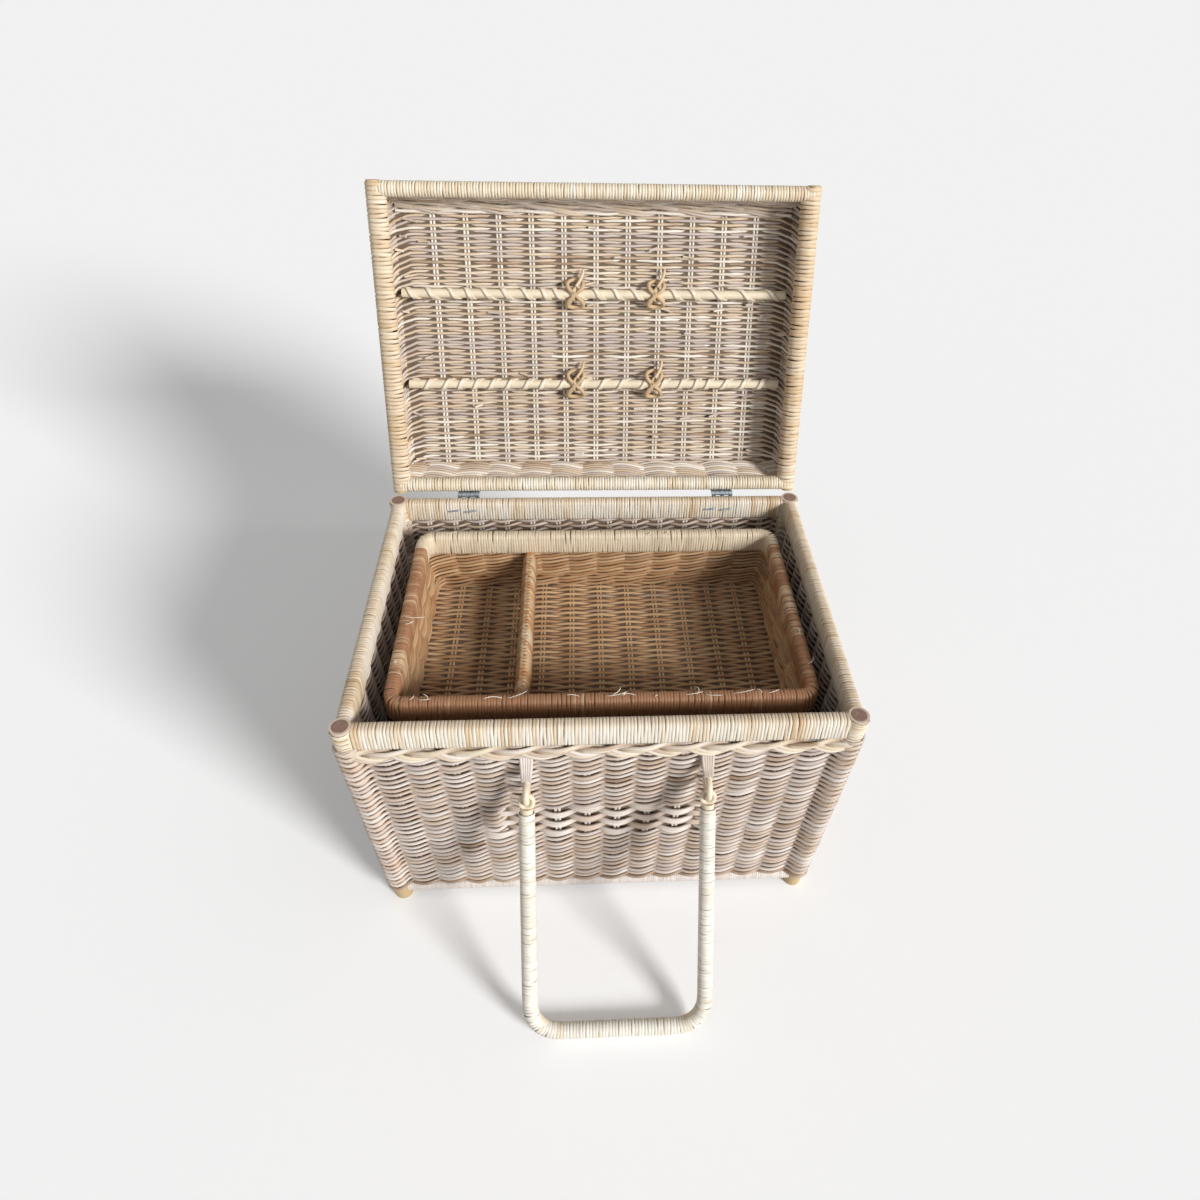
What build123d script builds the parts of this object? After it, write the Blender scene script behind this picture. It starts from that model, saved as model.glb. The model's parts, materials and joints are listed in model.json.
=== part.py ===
from build123d import *
import math
import os

os.makedirs("parts", exist_ok=True)

# A picnic hamper of rattan poles, cane binding and woven willow, in millimetres.
# Seen from its front, +X is right, +Y is back and +Z is up. The origin is on the floor
# under the middle of the basket. The lid stands open and both handles lean on the floor.

# Box, between the centres of the corner posts at the rim
width = 460.0
depth = 328.0
height = 296.0
batter = 18.0
post_radius = 9.5

# Rim rails, flat slats inside a cane binding
rail_thickness = 11.0
rail_height = 25.0
rail_round = 3.0
binding = 1.5

# Woven walls, measured out and in from the plane through the post centres
weave_out = 7.0
weave_in = 4.0

# Bottom frame and woven bottom
foot_height = 10.0
foot_rail_height = 12.0
foot_rail_thickness = 10.0
foot_rail_round = 2.5
bottom_thickness = 7.0

# Rope border round the walls, under the rails
border_radius = 6.0
border_corner = 12.0

# Clearances
seat_gap = 0.3
seam_gap = 0.5
pin_clearance = 0.05
eye_clearance = 0.6
knuckle_gap = 0.3

# Butt hinges on the back rail, with the pin's axis at the seam
hinge_spacing = 300.0
hinge_length = 25.0
knuckle_count = 5
knuckle_radius = 2.6
hinge_pin_radius = 1.2
leaf_thickness = 1.2
box_leaf_height = 19.0
lid_leaf_height = 15.0
leaf_shoulder = 3.2

# Wire staples that hold the hinges
staple_radius = 0.9
staple_bend = 1.4
box_staple_width = 20.0
box_staple_drop = 10.0
clinch_length = 12.0
clinch_slope = 1.5
lid_staple_width = 14.0

# Lid, a shallow tray of round bound poles and weave, given as when it is closed
lid_open_angle = 103.4
lid_overhang = 2.0
lid_pole_radius = 7.0
lid_pole_bare = 2.0
lid_batter = 12.0
lid_weave = 7.0
lid_height = 48.0
lid_wall_sink = 4.0

# Two rods across the inside of the lid, and the cane ties that hold them
rod_radius = 5.0
rod_places = (124.0, 228.0)
tie_places = (-28.0, 72.0)
tie_radius = 1.5
knot_radius = 3.6

# Lift-out tray
tray_side_gap = 23.0
tray_end_gap = 35.0
tray_corner = 22.0
tray_sunk = 18.0
tray_depth = 75.0
tray_rim_thickness = 11.0
tray_rim_height = 25.0
tray_rim_round = 4.0
tray_weave = 7.0
tray_batter = 10.0
tray_x = 2.0
tray_y = 2.0
divider_x = -78.0
divider_thickness = 6.0
divider_edge_radius = 6.0
divider_drop = 24.0

# Two rattan bearers under the tray
bearer_radius = 6.0
bearer_inset = 22.0

# Carrying handles, each a bound rattan bow whose eyes ride on two cane ears
ear_radius = 3.0
ear_bend = 9.0
ear_drop = 46.0
ear_reach = 17.5
handle_x = 13.0
handle_spacing = 167.0
handle_extra = 21.0
handle_corner = 32.0
handle_radius = 6.0
eye_wire = 2.3
handle_bare = 24.0

# Worked out from the sizes above
rim_height = rail_height + 2 * binding
rim_width = rail_thickness + 2 * binding
rim_low = height - rim_height
wall_low = foot_height + foot_rail_height
hinge_y = depth / 2 + rim_width / 2 + knuckle_radius
knuckle_pitch = hinge_length / knuckle_count
hinge_places = (-hinge_spacing / 2, hinge_spacing / 2)
lid_pole_outer = lid_pole_radius + binding
lid_back = hinge_y - depth / 2
lid_depth = depth + lid_overhang
lid_pole_level = seam_gap + lid_pole_outer
lid_wall_low = lid_pole_level + lid_pole_outer - lid_wall_sink
lid_wall_high = lid_height - lid_weave
rod_level = lid_wall_high - rod_radius - seat_gap
tray_length = width - 2 * tray_side_gap
tray_width = depth - 2 * tray_end_gap
tray_top = height - tray_sunk
tray_bottom = tray_top - tray_depth
tray_floor = tray_bottom + tray_weave
tray_rim_total = tray_rim_height + 2 * binding
tray_rim_width = tray_rim_thickness + 2 * binding
tray_rim_low = tray_top - tray_rim_total
divider_high = tray_top - divider_drop - 2 * divider_edge_radius
handle_outer = handle_radius + binding
eye_radius = ear_radius + eye_clearance + eye_wire
ear_height = rim_low - ear_drop
handle_length = ear_height + handle_extra
bearer_x = tray_length / 2 - bearer_inset
handle_lean = math.acos((ear_height - handle_outer) / handle_length)

sides = {
    "front": (0, width, depth),
    "right": (90, depth, width),
    "back": (180, width, depth),
    "left": (270, depth, width),
}


def half_span(span, z):
    """Half the distance between post centres at height z."""
    return span / 2 - batter * (height - z) / height


def run_plane(frame, x, y, z):
    """A plane across a piece that runs along the frame's X, from the point x, y, z."""
    return Plane(frame.from_local_coords((x, y, z)), x_dir=frame.y_dir, z_dir=frame.x_dir)


def depth_plane(frame, x, y, z):
    """A plane across a piece that runs towards the frame's front, from the point x, y, z."""
    return Plane(frame.from_local_coords((x, y, z)), x_dir=frame.x_dir, z_dir=-frame.y_dir)


def side_frame(turn, z):
    """A level plane at height z, turned so that its -Y looks out of one side."""
    return Plane.XY.rotated((0, 0, turn)).offset(z)


def carve(*pieces):
    """Takes other pieces' solids away from the part that is being built."""
    for piece in pieces:
        add(piece.part, mode=Mode.SUBTRACT)


def save(piece, name):
    """Labels a finished piece and writes it under its own name."""
    piece.part.label = name
    export_step(piece.part, f"parts/{name}.step")


def make_post(x_side, y_side):
    """A corner post that leans in towards the floor, cut level at both ends."""
    foot = Vector(x_side * half_span(width, 0), y_side * half_span(depth, 0), 0)
    head = Vector(x_side * width / 2, y_side * depth / 2, height)
    with BuildPart() as pole:
        with BuildSketch(Plane(foot, z_dir=head - foot).offset(-post_radius)):
            Circle(post_radius)
        extrude(amount=(head - foot).length + 2 * post_radius)
        split(bisect_by=Plane.XY, keep=Keep.TOP)
        split(bisect_by=Plane.XY.offset(height), keep=Keep.BOTTOM)
    return pole


posts = {
    "post_front_left": make_post(-1, -1),
    "post_front_right": make_post(1, -1),
    "post_back_left": make_post(-1, 1),
    "post_back_right": make_post(1, 1),
}
for name, post in posts.items():
    save(post, name)


# Staples that go through the box leaf and the back rail and are bent over inside
def staple_route(x):
    """The bent wire's line for the hinge at x, from one clinched end to the other."""
    left, right = x - box_staple_width / 2, x + box_staple_width / 2
    inside = depth / 2 - rim_width / 2 - staple_radius
    outside = depth / 2 + rim_width / 2 + leaf_thickness + staple_radius
    level = height - box_staple_drop
    low = level - clinch_slope
    return [
        (left - clinch_length, inside, low),
        (left, inside, level),
        (left, outside, level),
        (right, outside, level),
        (right, inside, level),
        (right - clinch_length, inside - 2 * staple_radius, low),
    ]


def wire(route, radius, bend):
    """A round wire swept along straight runs and tangent bends, added to the open part."""
    with BuildLine() as line:
        FilletPolyline(*route, radius=bend)
    path = line.wire()
    with BuildSketch(Plane(path @ 0, z_dir=path % 0)) as section:
        Circle(radius)
    sweep(section.sketch, path=path)


with BuildPart() as staples_box:
    for x in hinge_places:
        wire(staple_route(x), staple_radius, staple_bend)
save(staples_box, "staples_box")


# Rim rails and their binding, butted against the posts
def rim_plane(along, turn, across):
    """The plane across a rim rail at its left end."""
    return run_plane(side_frame(turn, height - rim_height / 2), -along / 2, -across / 2, 0)


def make_rim_rail(turn, along, across):
    """A flat slat from post to post."""
    with BuildPart() as slat:
        with BuildSketch(rim_plane(along, turn, across)):
            RectangleRounded(rail_thickness, rail_height, rail_round)
        extrude(amount=along)
        carve(*posts.values(), staples_box)
    return slat


def make_rim_binding(turn, along, across):
    """The sleeve of wound cane round one slat."""
    with BuildPart() as sleeve:
        with BuildSketch(rim_plane(along, turn, across)):
            RectangleRounded(rim_width, rim_height, rail_round + binding)
            RectangleRounded(rail_thickness, rail_height, rail_round, mode=Mode.SUBTRACT)
        extrude(amount=along)
        carve(*posts.values(), staples_box)
    return sleeve


def make_wall(turn, along, across):
    """A woven wall that leans with the posts and ends against them."""
    with BuildPart() as panel:
        for z in (wall_low, rim_low):
            with BuildSketch(side_frame(turn, z)):
                with Locations((0, -half_span(across, z) - (weave_out - weave_in) / 2)):
                    Rectangle(2 * half_span(along, z), weave_out + weave_in)
        loft(ruled=True)
        carve(*posts.values())
    return panel


def make_foot_rail(turn, along, across):
    """A bound pole along the bottom edge of one wall."""
    middle = foot_height + foot_rail_height / 2
    run = half_span(along, middle)
    out = half_span(across, middle) + (weave_out - weave_in) / 2
    with BuildPart() as pole:
        with BuildSketch(run_plane(side_frame(turn, middle), -run, -out, 0)):
            RectangleRounded(foot_rail_thickness, foot_rail_height, foot_rail_round)
        extrude(amount=2 * run)
        carve(*posts.values())
    return pole


walls = {}
for name, (turn, along, across) in sides.items():
    save(make_rim_rail(turn, along, across), f"rim_rail_{name}")
    save(make_rim_binding(turn, along, across), f"rim_binding_{name}")
    save(make_foot_rail(turn, along, across), f"foot_rail_{name}")
    walls[name] = make_wall(turn, along, across)
    save(walls[name], f"wall_{name}")


# Woven bottom between the foot rails
bottom_inset = foot_rail_thickness / 2 - (weave_out - weave_in) / 2
bottom_middle = foot_height + foot_rail_height / 2
with BuildPart() as bottom_panel:
    with BuildSketch(Plane.XY.offset(bottom_middle - bottom_thickness / 2)):
        Rectangle(
            2 * (half_span(width, bottom_middle) - bottom_inset),
            2 * (half_span(depth, bottom_middle) - bottom_inset),
        )
    extrude(amount=bottom_thickness)
    carve(*posts.values())
save(bottom_panel, "bottom_panel")


# Rope border, one ring round the walls and posts
border_level = rim_low - border_radius
border_x = half_span(width, border_level) + weave_out
border_y = half_span(depth, border_level) + weave_out
with BuildSketch(Plane.XY.offset(border_level)) as border_plan:
    RectangleRounded(2 * border_x, 2 * border_y, border_corner)
border_path = border_plan.sketch.face().outer_wire()
with BuildPart() as border_rope:
    with BuildSketch(Plane(border_path @ 0, z_dir=border_path % 0)):
        Circle(border_radius)
    sweep(path=border_path)
    carve(*posts.values(), *walls.values())
save(border_rope, "border_rope")


# Bearers across the inside, for the tray to stand on
def make_bearer(x):
    """A rattan rod from the front wall to the back wall."""
    reach = half_span(depth, tray_bottom)
    with BuildPart() as rod:
        level = tray_bottom - seat_gap - bearer_radius
        with BuildSketch(depth_plane(Plane.XY, x, reach, level)):
            Circle(bearer_radius)
        extrude(amount=2 * reach)
        carve(walls["front"], walls["back"])
    return rod


save(make_bearer(-bearer_x), "tray_bearer_left")
save(make_bearer(bearer_x), "tray_bearer_right")


# Cane ears on the front and back walls, and the handles that hang in them
ear_y = half_span(depth, ear_height) + weave_out + ear_reach
ear_places = (handle_x - handle_spacing / 2, handle_x + handle_spacing / 2)


with BuildPart() as handle_ears:
    for facing in (-1, 1):
        root = facing * half_span(depth, ear_height)
        nose = facing * ear_y
        for x in ear_places:
            with BuildLine() as bow:
                Line((x, root, ear_height + ear_bend), (x, nose, ear_height + ear_bend))
                ThreePointArc(
                    (x, nose, ear_height + ear_bend),
                    (x, nose + facing * ear_bend, ear_height),
                    (x, nose, ear_height - ear_bend),
                )
                Line((x, nose, ear_height - ear_bend), (x, root, ear_height - ear_bend))
            with BuildSketch(Plane(bow.wire() @ 0, z_dir=bow.wire() % 0)) as cane:
                Circle(ear_radius)
            sweep(cane.sketch, path=bow.wire())
    carve(walls["front"], walls["back"])
save(handle_ears, "handle_ears")


def handle_plane(facing):
    """The plane of a handle at rest, with its origin on the pivot and +Y along the legs."""
    legs = Vector(0, facing * math.sin(handle_lean), -math.cos(handle_lean))
    pivot = Vector(0, facing * ear_y, ear_height)
    return Plane(pivot, x_dir=(1, 0, 0), z_dir=Vector(1, 0, 0).cross(legs))


def bow_route(plane, start):
    """The handle's line down one leg, along the bar and up the other leg."""
    left, right = ear_places
    with BuildLine(plane) as line:
        FilletPolyline(
            (left, start),
            (left, handle_length),
            (right, handle_length),
            (right, start),
            radius=handle_corner,
        )
    return line.wire()


def make_handle(facing):
    """The bent rattan bow with the eye at the end of each leg."""
    plane = handle_plane(facing)
    path = bow_route(plane, ear_bend + eye_radius)
    with BuildPart() as bow:
        with BuildSketch(Plane(path @ 0, z_dir=path % 0)):
            Circle(handle_radius)
        sweep(path=path)
        for x in ear_places:
            with Locations(Plane(plane.from_local_coords((x, ear_bend, 0)), z_dir=plane.z_dir)):
                Torus(eye_radius, eye_wire)
    return bow


def make_handle_binding(facing):
    """The sleeve of wound cane round the bow."""
    path = bow_route(handle_plane(facing), handle_bare)
    with BuildPart() as sleeve:
        with BuildSketch(Plane(path @ 0, z_dir=path % 0)):
            Circle(handle_outer)
            Circle(handle_radius, mode=Mode.SUBTRACT)
        sweep(path=path)
    return sleeve


for name, facing in {"front": -1, "back": 1}.items():
    save(make_handle(facing), f"handle_{name}")
    save(make_handle_binding(facing), f"handle_{name}_binding")


# Hinges: the lid's frame has its origin on the hinge axis and its axes as on the closed lid
open_angle = math.radians(lid_open_angle)
lid_frame = Plane(
    (0, hinge_y, height),
    x_dir=(1, 0, 0),
    z_dir=(0, math.sin(open_angle), math.cos(open_angle)),
)
box_frame = Plane((0, hinge_y, height), x_dir=(1, 0, 0), z_dir=(0, 0, 1))

with BuildPart() as staples_lid:
    for x in hinge_places:
        left, right = x - lid_staple_width / 2, x + lid_staple_width / 2
        outside = lid_pole_outer - lid_back + leaf_thickness + staple_radius
        ends = [(left, -lid_back), (left, outside), (right, outside), (right, -lid_back)]
        points = [lid_frame.from_local_coords((u, v, lid_pole_level)) for u, v in ends]
        wire(points, staple_radius, staple_bend)
save(staples_lid, "staples_lid")


def upright_slab(frame, x, y, low, length, thickness, tall):
    """A block that stands on the frame at x, y, from its level low."""
    base = frame.from_local_coords((x, y, low))
    with BuildSketch(Plane(base, x_dir=frame.x_dir, z_dir=frame.z_dir)) as plan:
        Rectangle(length, thickness)
    extrude(plan.sketch, amount=tall)


def make_leaves(frame, face, plate, neck, first, staples):
    """Both hinges' leaves on one side: plates against a face, with every other knuckle."""
    y = face + leaf_thickness / 2
    with BuildPart() as leaves:
        for x in hinge_places:
            upright_slab(frame, x, y, plate[0], hinge_length, leaf_thickness, plate[1] - plate[0])
            for n in range(first, knuckle_count, 2):
                start = x - hinge_length / 2 + n * knuckle_pitch + knuckle_gap / 2
                length = knuckle_pitch - knuckle_gap
                middle = start + length / 2
                upright_slab(frame, middle, y, neck, length, leaf_thickness, leaf_shoulder)
                with BuildSketch(run_plane(frame, start, 0, 0)) as barrel:
                    Circle(knuckle_radius)
                extrude(barrel.sketch, amount=length)
            with BuildSketch(run_plane(frame, x - hinge_length / 2, 0, 0)) as bore:
                Circle(hinge_pin_radius + pin_clearance)
            extrude(bore.sketch, amount=hinge_length, mode=Mode.SUBTRACT)
        carve(staples)
    return leaves


box_plate = (-box_leaf_height, -leaf_shoulder)
hinge_leaves_box = make_leaves(
    box_frame, -knuckle_radius, box_plate, -leaf_shoulder, 0, staples_box
)
save(hinge_leaves_box, "hinge_leaves_box")
lid_plate = (leaf_shoulder, lid_leaf_height)
lid_face = lid_pole_outer - lid_back
hinge_leaves_lid = make_leaves(lid_frame, lid_face, lid_plate, 0, 1, staples_lid)
save(hinge_leaves_lid, "hinge_leaves_lid")

with BuildPart() as hinge_pins:
    for x in hinge_places:
        with BuildSketch(run_plane(box_frame, x - hinge_length / 2, 0, 0)) as pin:
            Circle(hinge_pin_radius)
        extrude(pin.sketch, amount=hinge_length)
save(hinge_pins, "hinge_pins")


# Lid poles: the side poles run through and the front and back poles butt against them
lid_ends = {"back": -lid_back, "front": -lid_back - lid_depth}


def make_lid_side_pole(x):
    """The bare pole of one side of the lid, with both ends showing."""
    with BuildPart() as pole:
        start = depth_plane(lid_frame, x, lid_pole_outer - lid_back, lid_pole_level)
        with BuildSketch(start):
            Circle(lid_pole_radius)
        extrude(amount=lid_depth + 2 * lid_pole_outer)
    return pole


def make_lid_side_binding(x):
    """The wound cane round one side pole."""
    with BuildPart() as sleeve:
        start = lid_pole_outer - lid_back - lid_pole_bare
        with BuildSketch(depth_plane(lid_frame, x, start, lid_pole_level)):
            Circle(lid_pole_outer)
            Circle(lid_pole_radius, mode=Mode.SUBTRACT)
        extrude(amount=lid_depth + 2 * (lid_pole_outer - lid_pole_bare))
    return sleeve


def make_lid_cross_pole(y, inner, outer, others):
    """A round pole or sleeve along the front or the back of the lid."""
    with BuildPart() as pole:
        with BuildSketch(run_plane(lid_frame, -width / 2, y, lid_pole_level)):
            Circle(outer)
            if inner:
                Circle(inner, mode=Mode.SUBTRACT)
        extrude(amount=width)
        carve(*others, staples_lid)
    return pole


lid_sides = {"left": -width / 2, "right": width / 2}
lid_poles = {}
for name, x in lid_sides.items():
    lid_poles[f"lid_pole_{name}"] = make_lid_side_pole(x)
    lid_poles[f"lid_binding_{name}"] = make_lid_side_binding(x)
side_poles = list(lid_poles.values())
for name, y in lid_ends.items():
    lid_poles[f"lid_pole_{name}"] = make_lid_cross_pole(y, 0, lid_pole_radius, side_poles)
    sleeve = make_lid_cross_pole(y, lid_pole_radius, lid_pole_outer, side_poles)
    lid_poles[f"lid_binding_{name}"] = sleeve
for name, pole in lid_poles.items():
    save(pole, name)


# Lid weave: four walls that slant in, under a flat panel
def lid_side(turn, level):
    """The plane over the lid's middle at a level, turned so that -Y looks to one side."""
    swing = math.radians(turn)
    return Plane(
        lid_frame.from_local_coords((0, -lid_back - lid_depth / 2, level)),
        x_dir=lid_frame.x_dir * math.cos(swing) + lid_frame.y_dir * math.sin(swing),
        z_dir=lid_frame.z_dir,
    )


def lid_half(span, level):
    """Half the lid's size to the outside of its weave at a level above the seam."""
    share = (level - lid_wall_low) / (lid_wall_high - lid_wall_low)
    return span / 2 + lid_weave / 2 - lid_batter * share


def mitred_band(along, across, thickness):
    """The plan of one side of a rectangular frame, mitred at both ends."""
    Polygon(
        (-along, -across),
        (along, -across),
        (along - thickness, thickness - across),
        (thickness - along, thickness - across),
        align=None,
    )


def make_lid_wall(turn, along, across):
    """One slanted woven wall of the lid."""
    with BuildPart() as panel:
        for level in (lid_wall_low, lid_wall_high):
            with BuildSketch(lid_side(turn, level)):
                mitred_band(lid_half(along, level), lid_half(across, level), lid_weave)
        loft(ruled=True)
        carve(*lid_poles.values())
    return panel


for name, (turn, along, across) in sides.items():
    spans = [lid_depth if span == depth else width for span in (along, across)]
    save(make_lid_wall(turn, *spans), f"lid_wall_{name}")

with BuildPart() as lid_panel:
    with BuildSketch(lid_side(0, lid_wall_high)):
        Rectangle(2 * lid_half(width, lid_wall_high), 2 * lid_half(lid_depth, lid_wall_high))
    extrude(amount=lid_weave)
save(lid_panel, "lid_panel")


# Rods across the lid, each tied to the panel at two places
rod_reach = lid_half(width, lid_wall_high) - lid_weave - seat_gap


def make_rod(place):
    """A rattan rod that lies against the inside of the lid's panel."""
    with BuildPart() as rod:
        with BuildSketch(run_plane(lid_frame, -rod_reach, -place, rod_level)):
            Circle(rod_radius)
        extrude(amount=2 * rod_reach)
    return rod


rods = [make_rod(place) for place in rod_places]
save(rods[0], "lid_rod_lower")
save(rods[1], "lid_rod_upper")

with BuildPart() as lid_ties:
    for place in rod_places:
        for x in tie_places:
            ring = run_plane(lid_frame, x, -place, rod_level)
            with Locations(Plane(ring.origin, z_dir=ring.z_dir)):
                Torus(rod_radius + tie_radius + seat_gap, tie_radius)
            knot = lid_frame.from_local_coords((x, -place, rod_level - rod_radius - knot_radius))
            with Locations(knot):
                Sphere(knot_radius)
    carve(lid_panel, *rods)
save(lid_ties, "lid_ties")


# Lift-out tray: a bound hoop, four slanted woven walls, a woven floor and a divider
def tray_plane(z):
    """The tray's level plane at height z."""
    return Plane((tray_x, tray_y, z))


def tray_outline(inset, corner, mode=Mode.ADD):
    """A rounded rectangle, drawn in by inset from the outside of the tray's rim."""
    RectangleRounded(tray_length - 2 * inset, tray_width - 2 * inset, corner, mode=mode)


def tray_ring(low, high, inset, thickness, rounding):
    """A hoop of the tray between two levels, with its long edges rounded."""
    with BuildPart() as hoop:
        with BuildSketch(tray_plane(low)):
            tray_outline(inset, tray_corner - inset)
            tray_outline(inset + thickness, tray_corner - inset - thickness, Mode.SUBTRACT)
        extrude(amount=high - low)
        rims = hoop.edges().group_by(Axis.Z)
        fillet(rims[0] + rims[-1], rounding)
    return hoop


tray_hoop = tray_ring(
    tray_rim_low + binding, tray_top - binding, binding, tray_rim_thickness, tray_rim_round
)
save(tray_hoop, "tray_hoop")
rim_shell = tray_ring(tray_rim_low, tray_top, 0, tray_rim_width, tray_rim_round + binding)
with BuildPart() as tray_binding:
    add(rim_shell.part)
    carve(tray_hoop)
save(tray_binding, "tray_binding")


def tray_inset(z):
    """How far the outside of the tray's weave lies inside its rim at height z."""
    drop = (tray_rim_low - z) / (tray_rim_low - tray_floor)
    return (tray_rim_width - tray_weave) / 2 + tray_batter * drop


def tray_loft(inset, mode):
    """A slanted block between the tray's floor and its rim, inside or outside the weave."""
    sections = []
    for z in (tray_floor, tray_rim_low):
        with BuildSketch(tray_plane(z)) as section:
            tray_outline(tray_inset(z) + inset, tray_corner - tray_inset(tray_rim_low) - inset)
        sections.append(section.sketch)
    loft(sections, ruled=True, mode=mode)


def make_tray_wall(turn, along, across):
    """One side of the tray's woven wall, mitred at the corners."""
    with BuildPart() as panel:
        tray_loft(0, Mode.ADD)
        tray_loft(tray_weave, Mode.SUBTRACT)
        with BuildSketch(tray_plane(tray_floor).rotated((0, 0, turn))):
            mitred_band(along / 2, across / 2, across / 2)
        extrude(amount=tray_rim_low - tray_floor, mode=Mode.INTERSECT)
    return panel


for name, (turn, along, across) in sides.items():
    spans = [tray_width if span == depth else tray_length for span in (along, across)]
    save(make_tray_wall(turn, *spans), f"tray_wall_{name}")

with BuildPart() as tray_base:
    with BuildSketch(tray_plane(tray_bottom)):
        tray_outline(tray_inset(tray_floor), tray_corner - tray_inset(tray_rim_low))
    extrude(amount=tray_weave)
save(tray_base, "tray_base")


def divider_reach(z):
    """Half the distance between the insides of the tray's front and back walls."""
    return tray_width / 2 - tray_inset(z) - tray_weave


divider_level = divider_high + divider_edge_radius
with BuildPart() as tray_divider_edge:
    reach = divider_reach(divider_high)
    with BuildSketch(depth_plane(tray_plane(divider_level), divider_x - tray_x, reach, 0)):
        Circle(divider_edge_radius)
    extrude(amount=2 * reach)
    carve(tray_binding)
save(tray_divider_edge, "tray_divider_edge")

with BuildPart() as tray_divider:
    for z in (tray_floor, divider_level):
        with BuildSketch(tray_plane(z)):
            with Locations((divider_x - tray_x, 0)):
                Rectangle(divider_thickness, 2 * divider_reach(z))
    loft(ruled=True)
    carve(tray_divider_edge)
save(tray_divider, "tray_divider")
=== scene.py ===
"""Looks for the picnic basket: weave, wound cane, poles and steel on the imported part, with the stage."""
import functools
import json
import math
import random
from bisect import bisect_left
from itertools import accumulate, product

import bmesh
import bpy
from bpy.props import FloatProperty, FloatVectorProperty, IntProperty
from mathutils import Matrix, Vector


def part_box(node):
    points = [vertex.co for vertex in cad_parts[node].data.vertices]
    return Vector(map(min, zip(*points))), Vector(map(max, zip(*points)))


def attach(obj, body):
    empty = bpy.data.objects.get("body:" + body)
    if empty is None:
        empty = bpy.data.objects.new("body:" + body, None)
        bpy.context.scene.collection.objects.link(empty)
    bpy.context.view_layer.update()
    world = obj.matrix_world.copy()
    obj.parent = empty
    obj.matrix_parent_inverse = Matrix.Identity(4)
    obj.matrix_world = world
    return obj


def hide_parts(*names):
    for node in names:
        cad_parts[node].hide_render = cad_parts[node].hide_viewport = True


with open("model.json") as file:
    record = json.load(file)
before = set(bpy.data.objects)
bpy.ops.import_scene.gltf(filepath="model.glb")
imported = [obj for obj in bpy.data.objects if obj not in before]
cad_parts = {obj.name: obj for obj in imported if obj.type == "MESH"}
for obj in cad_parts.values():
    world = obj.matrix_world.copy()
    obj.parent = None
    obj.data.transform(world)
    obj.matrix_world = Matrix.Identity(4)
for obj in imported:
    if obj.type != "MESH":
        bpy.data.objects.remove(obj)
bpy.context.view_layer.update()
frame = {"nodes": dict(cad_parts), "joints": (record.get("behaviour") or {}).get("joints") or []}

bl_info = {
    "name": "Picnic basket",
    "version": (1, 0, 0),
    "blender": (4, 5, 0),
    "location": "3D View > Sidebar > Basket",
    "description": "Weaves, winds and finishes the picnic basket on its packed frame",
    "category": "Object",
}


def length(name, default, description):
    return FloatProperty(name=name, default=default, description=description, min=0, unit="LENGTH",
                         subtype="DISTANCE", precision=5)


def colour(name, default, description):
    return FloatVectorProperty(name=name, default=default, description=description, size=3, min=0, max=1,
                               subtype="COLOR")


class BasketSizes(bpy.types.PropertyGroup):
    """Sizes of the rods and strips that the basket is made from."""
    stake_spacing: length("Stake spacing", 0.0305, "From one pair of the basket's stakes to the next")
    lid_stake_spacing: length("Lid stake spacing", 0.0365, "From one pair of the lid's stakes to the next")
    tray_stake_spacing: length("Tray stake spacing", 0.0326, "From one pair of the tray's stakes to the next")
    steps_per_stake: IntProperty(name="Steps per stake", default=8, min=4, max=12,
                                 description="Points that a rod has between two pairs of stakes")
    body_row: length("Body row", 0.0074, "Height of one row of pairing on the basket's walls")
    body_rod: length("Body rod", 0.0019, "Radius of the rods woven into the basket's walls")
    body_swing: length("Body swing", 0.0040, "How far a rod of the walls swings to each side of the stakes")
    floor_row: length("Floor row", 0.0046, "Width of one row of the basket's floor")
    lid_row: length("Lid row", 0.0033, "Width of one row of the lid")
    lid_rod: length("Lid rod", 0.00166, "Radius of the rods woven into the lid")
    tray_row: length("Tray row", 0.00395, "Width of one row of the tray")
    tray_rod: length("Tray rod", 0.00186, "Radius of the rods woven into the tray")
    cane_width: length("Cane width", 0.0031, "Width of the cane wound on rails, poles and hoop")
    side_cane: length("Side cane width", 0.0044, "Width of the cane wound on the lid's two side poles")
    handle_cane: length("Handle cane width", 0.0031, "Width of the cane wound on the handles")
    foot_cane: length("Foot cane width", 0.0023, "Width of the strip wound on the foot rails")


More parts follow.
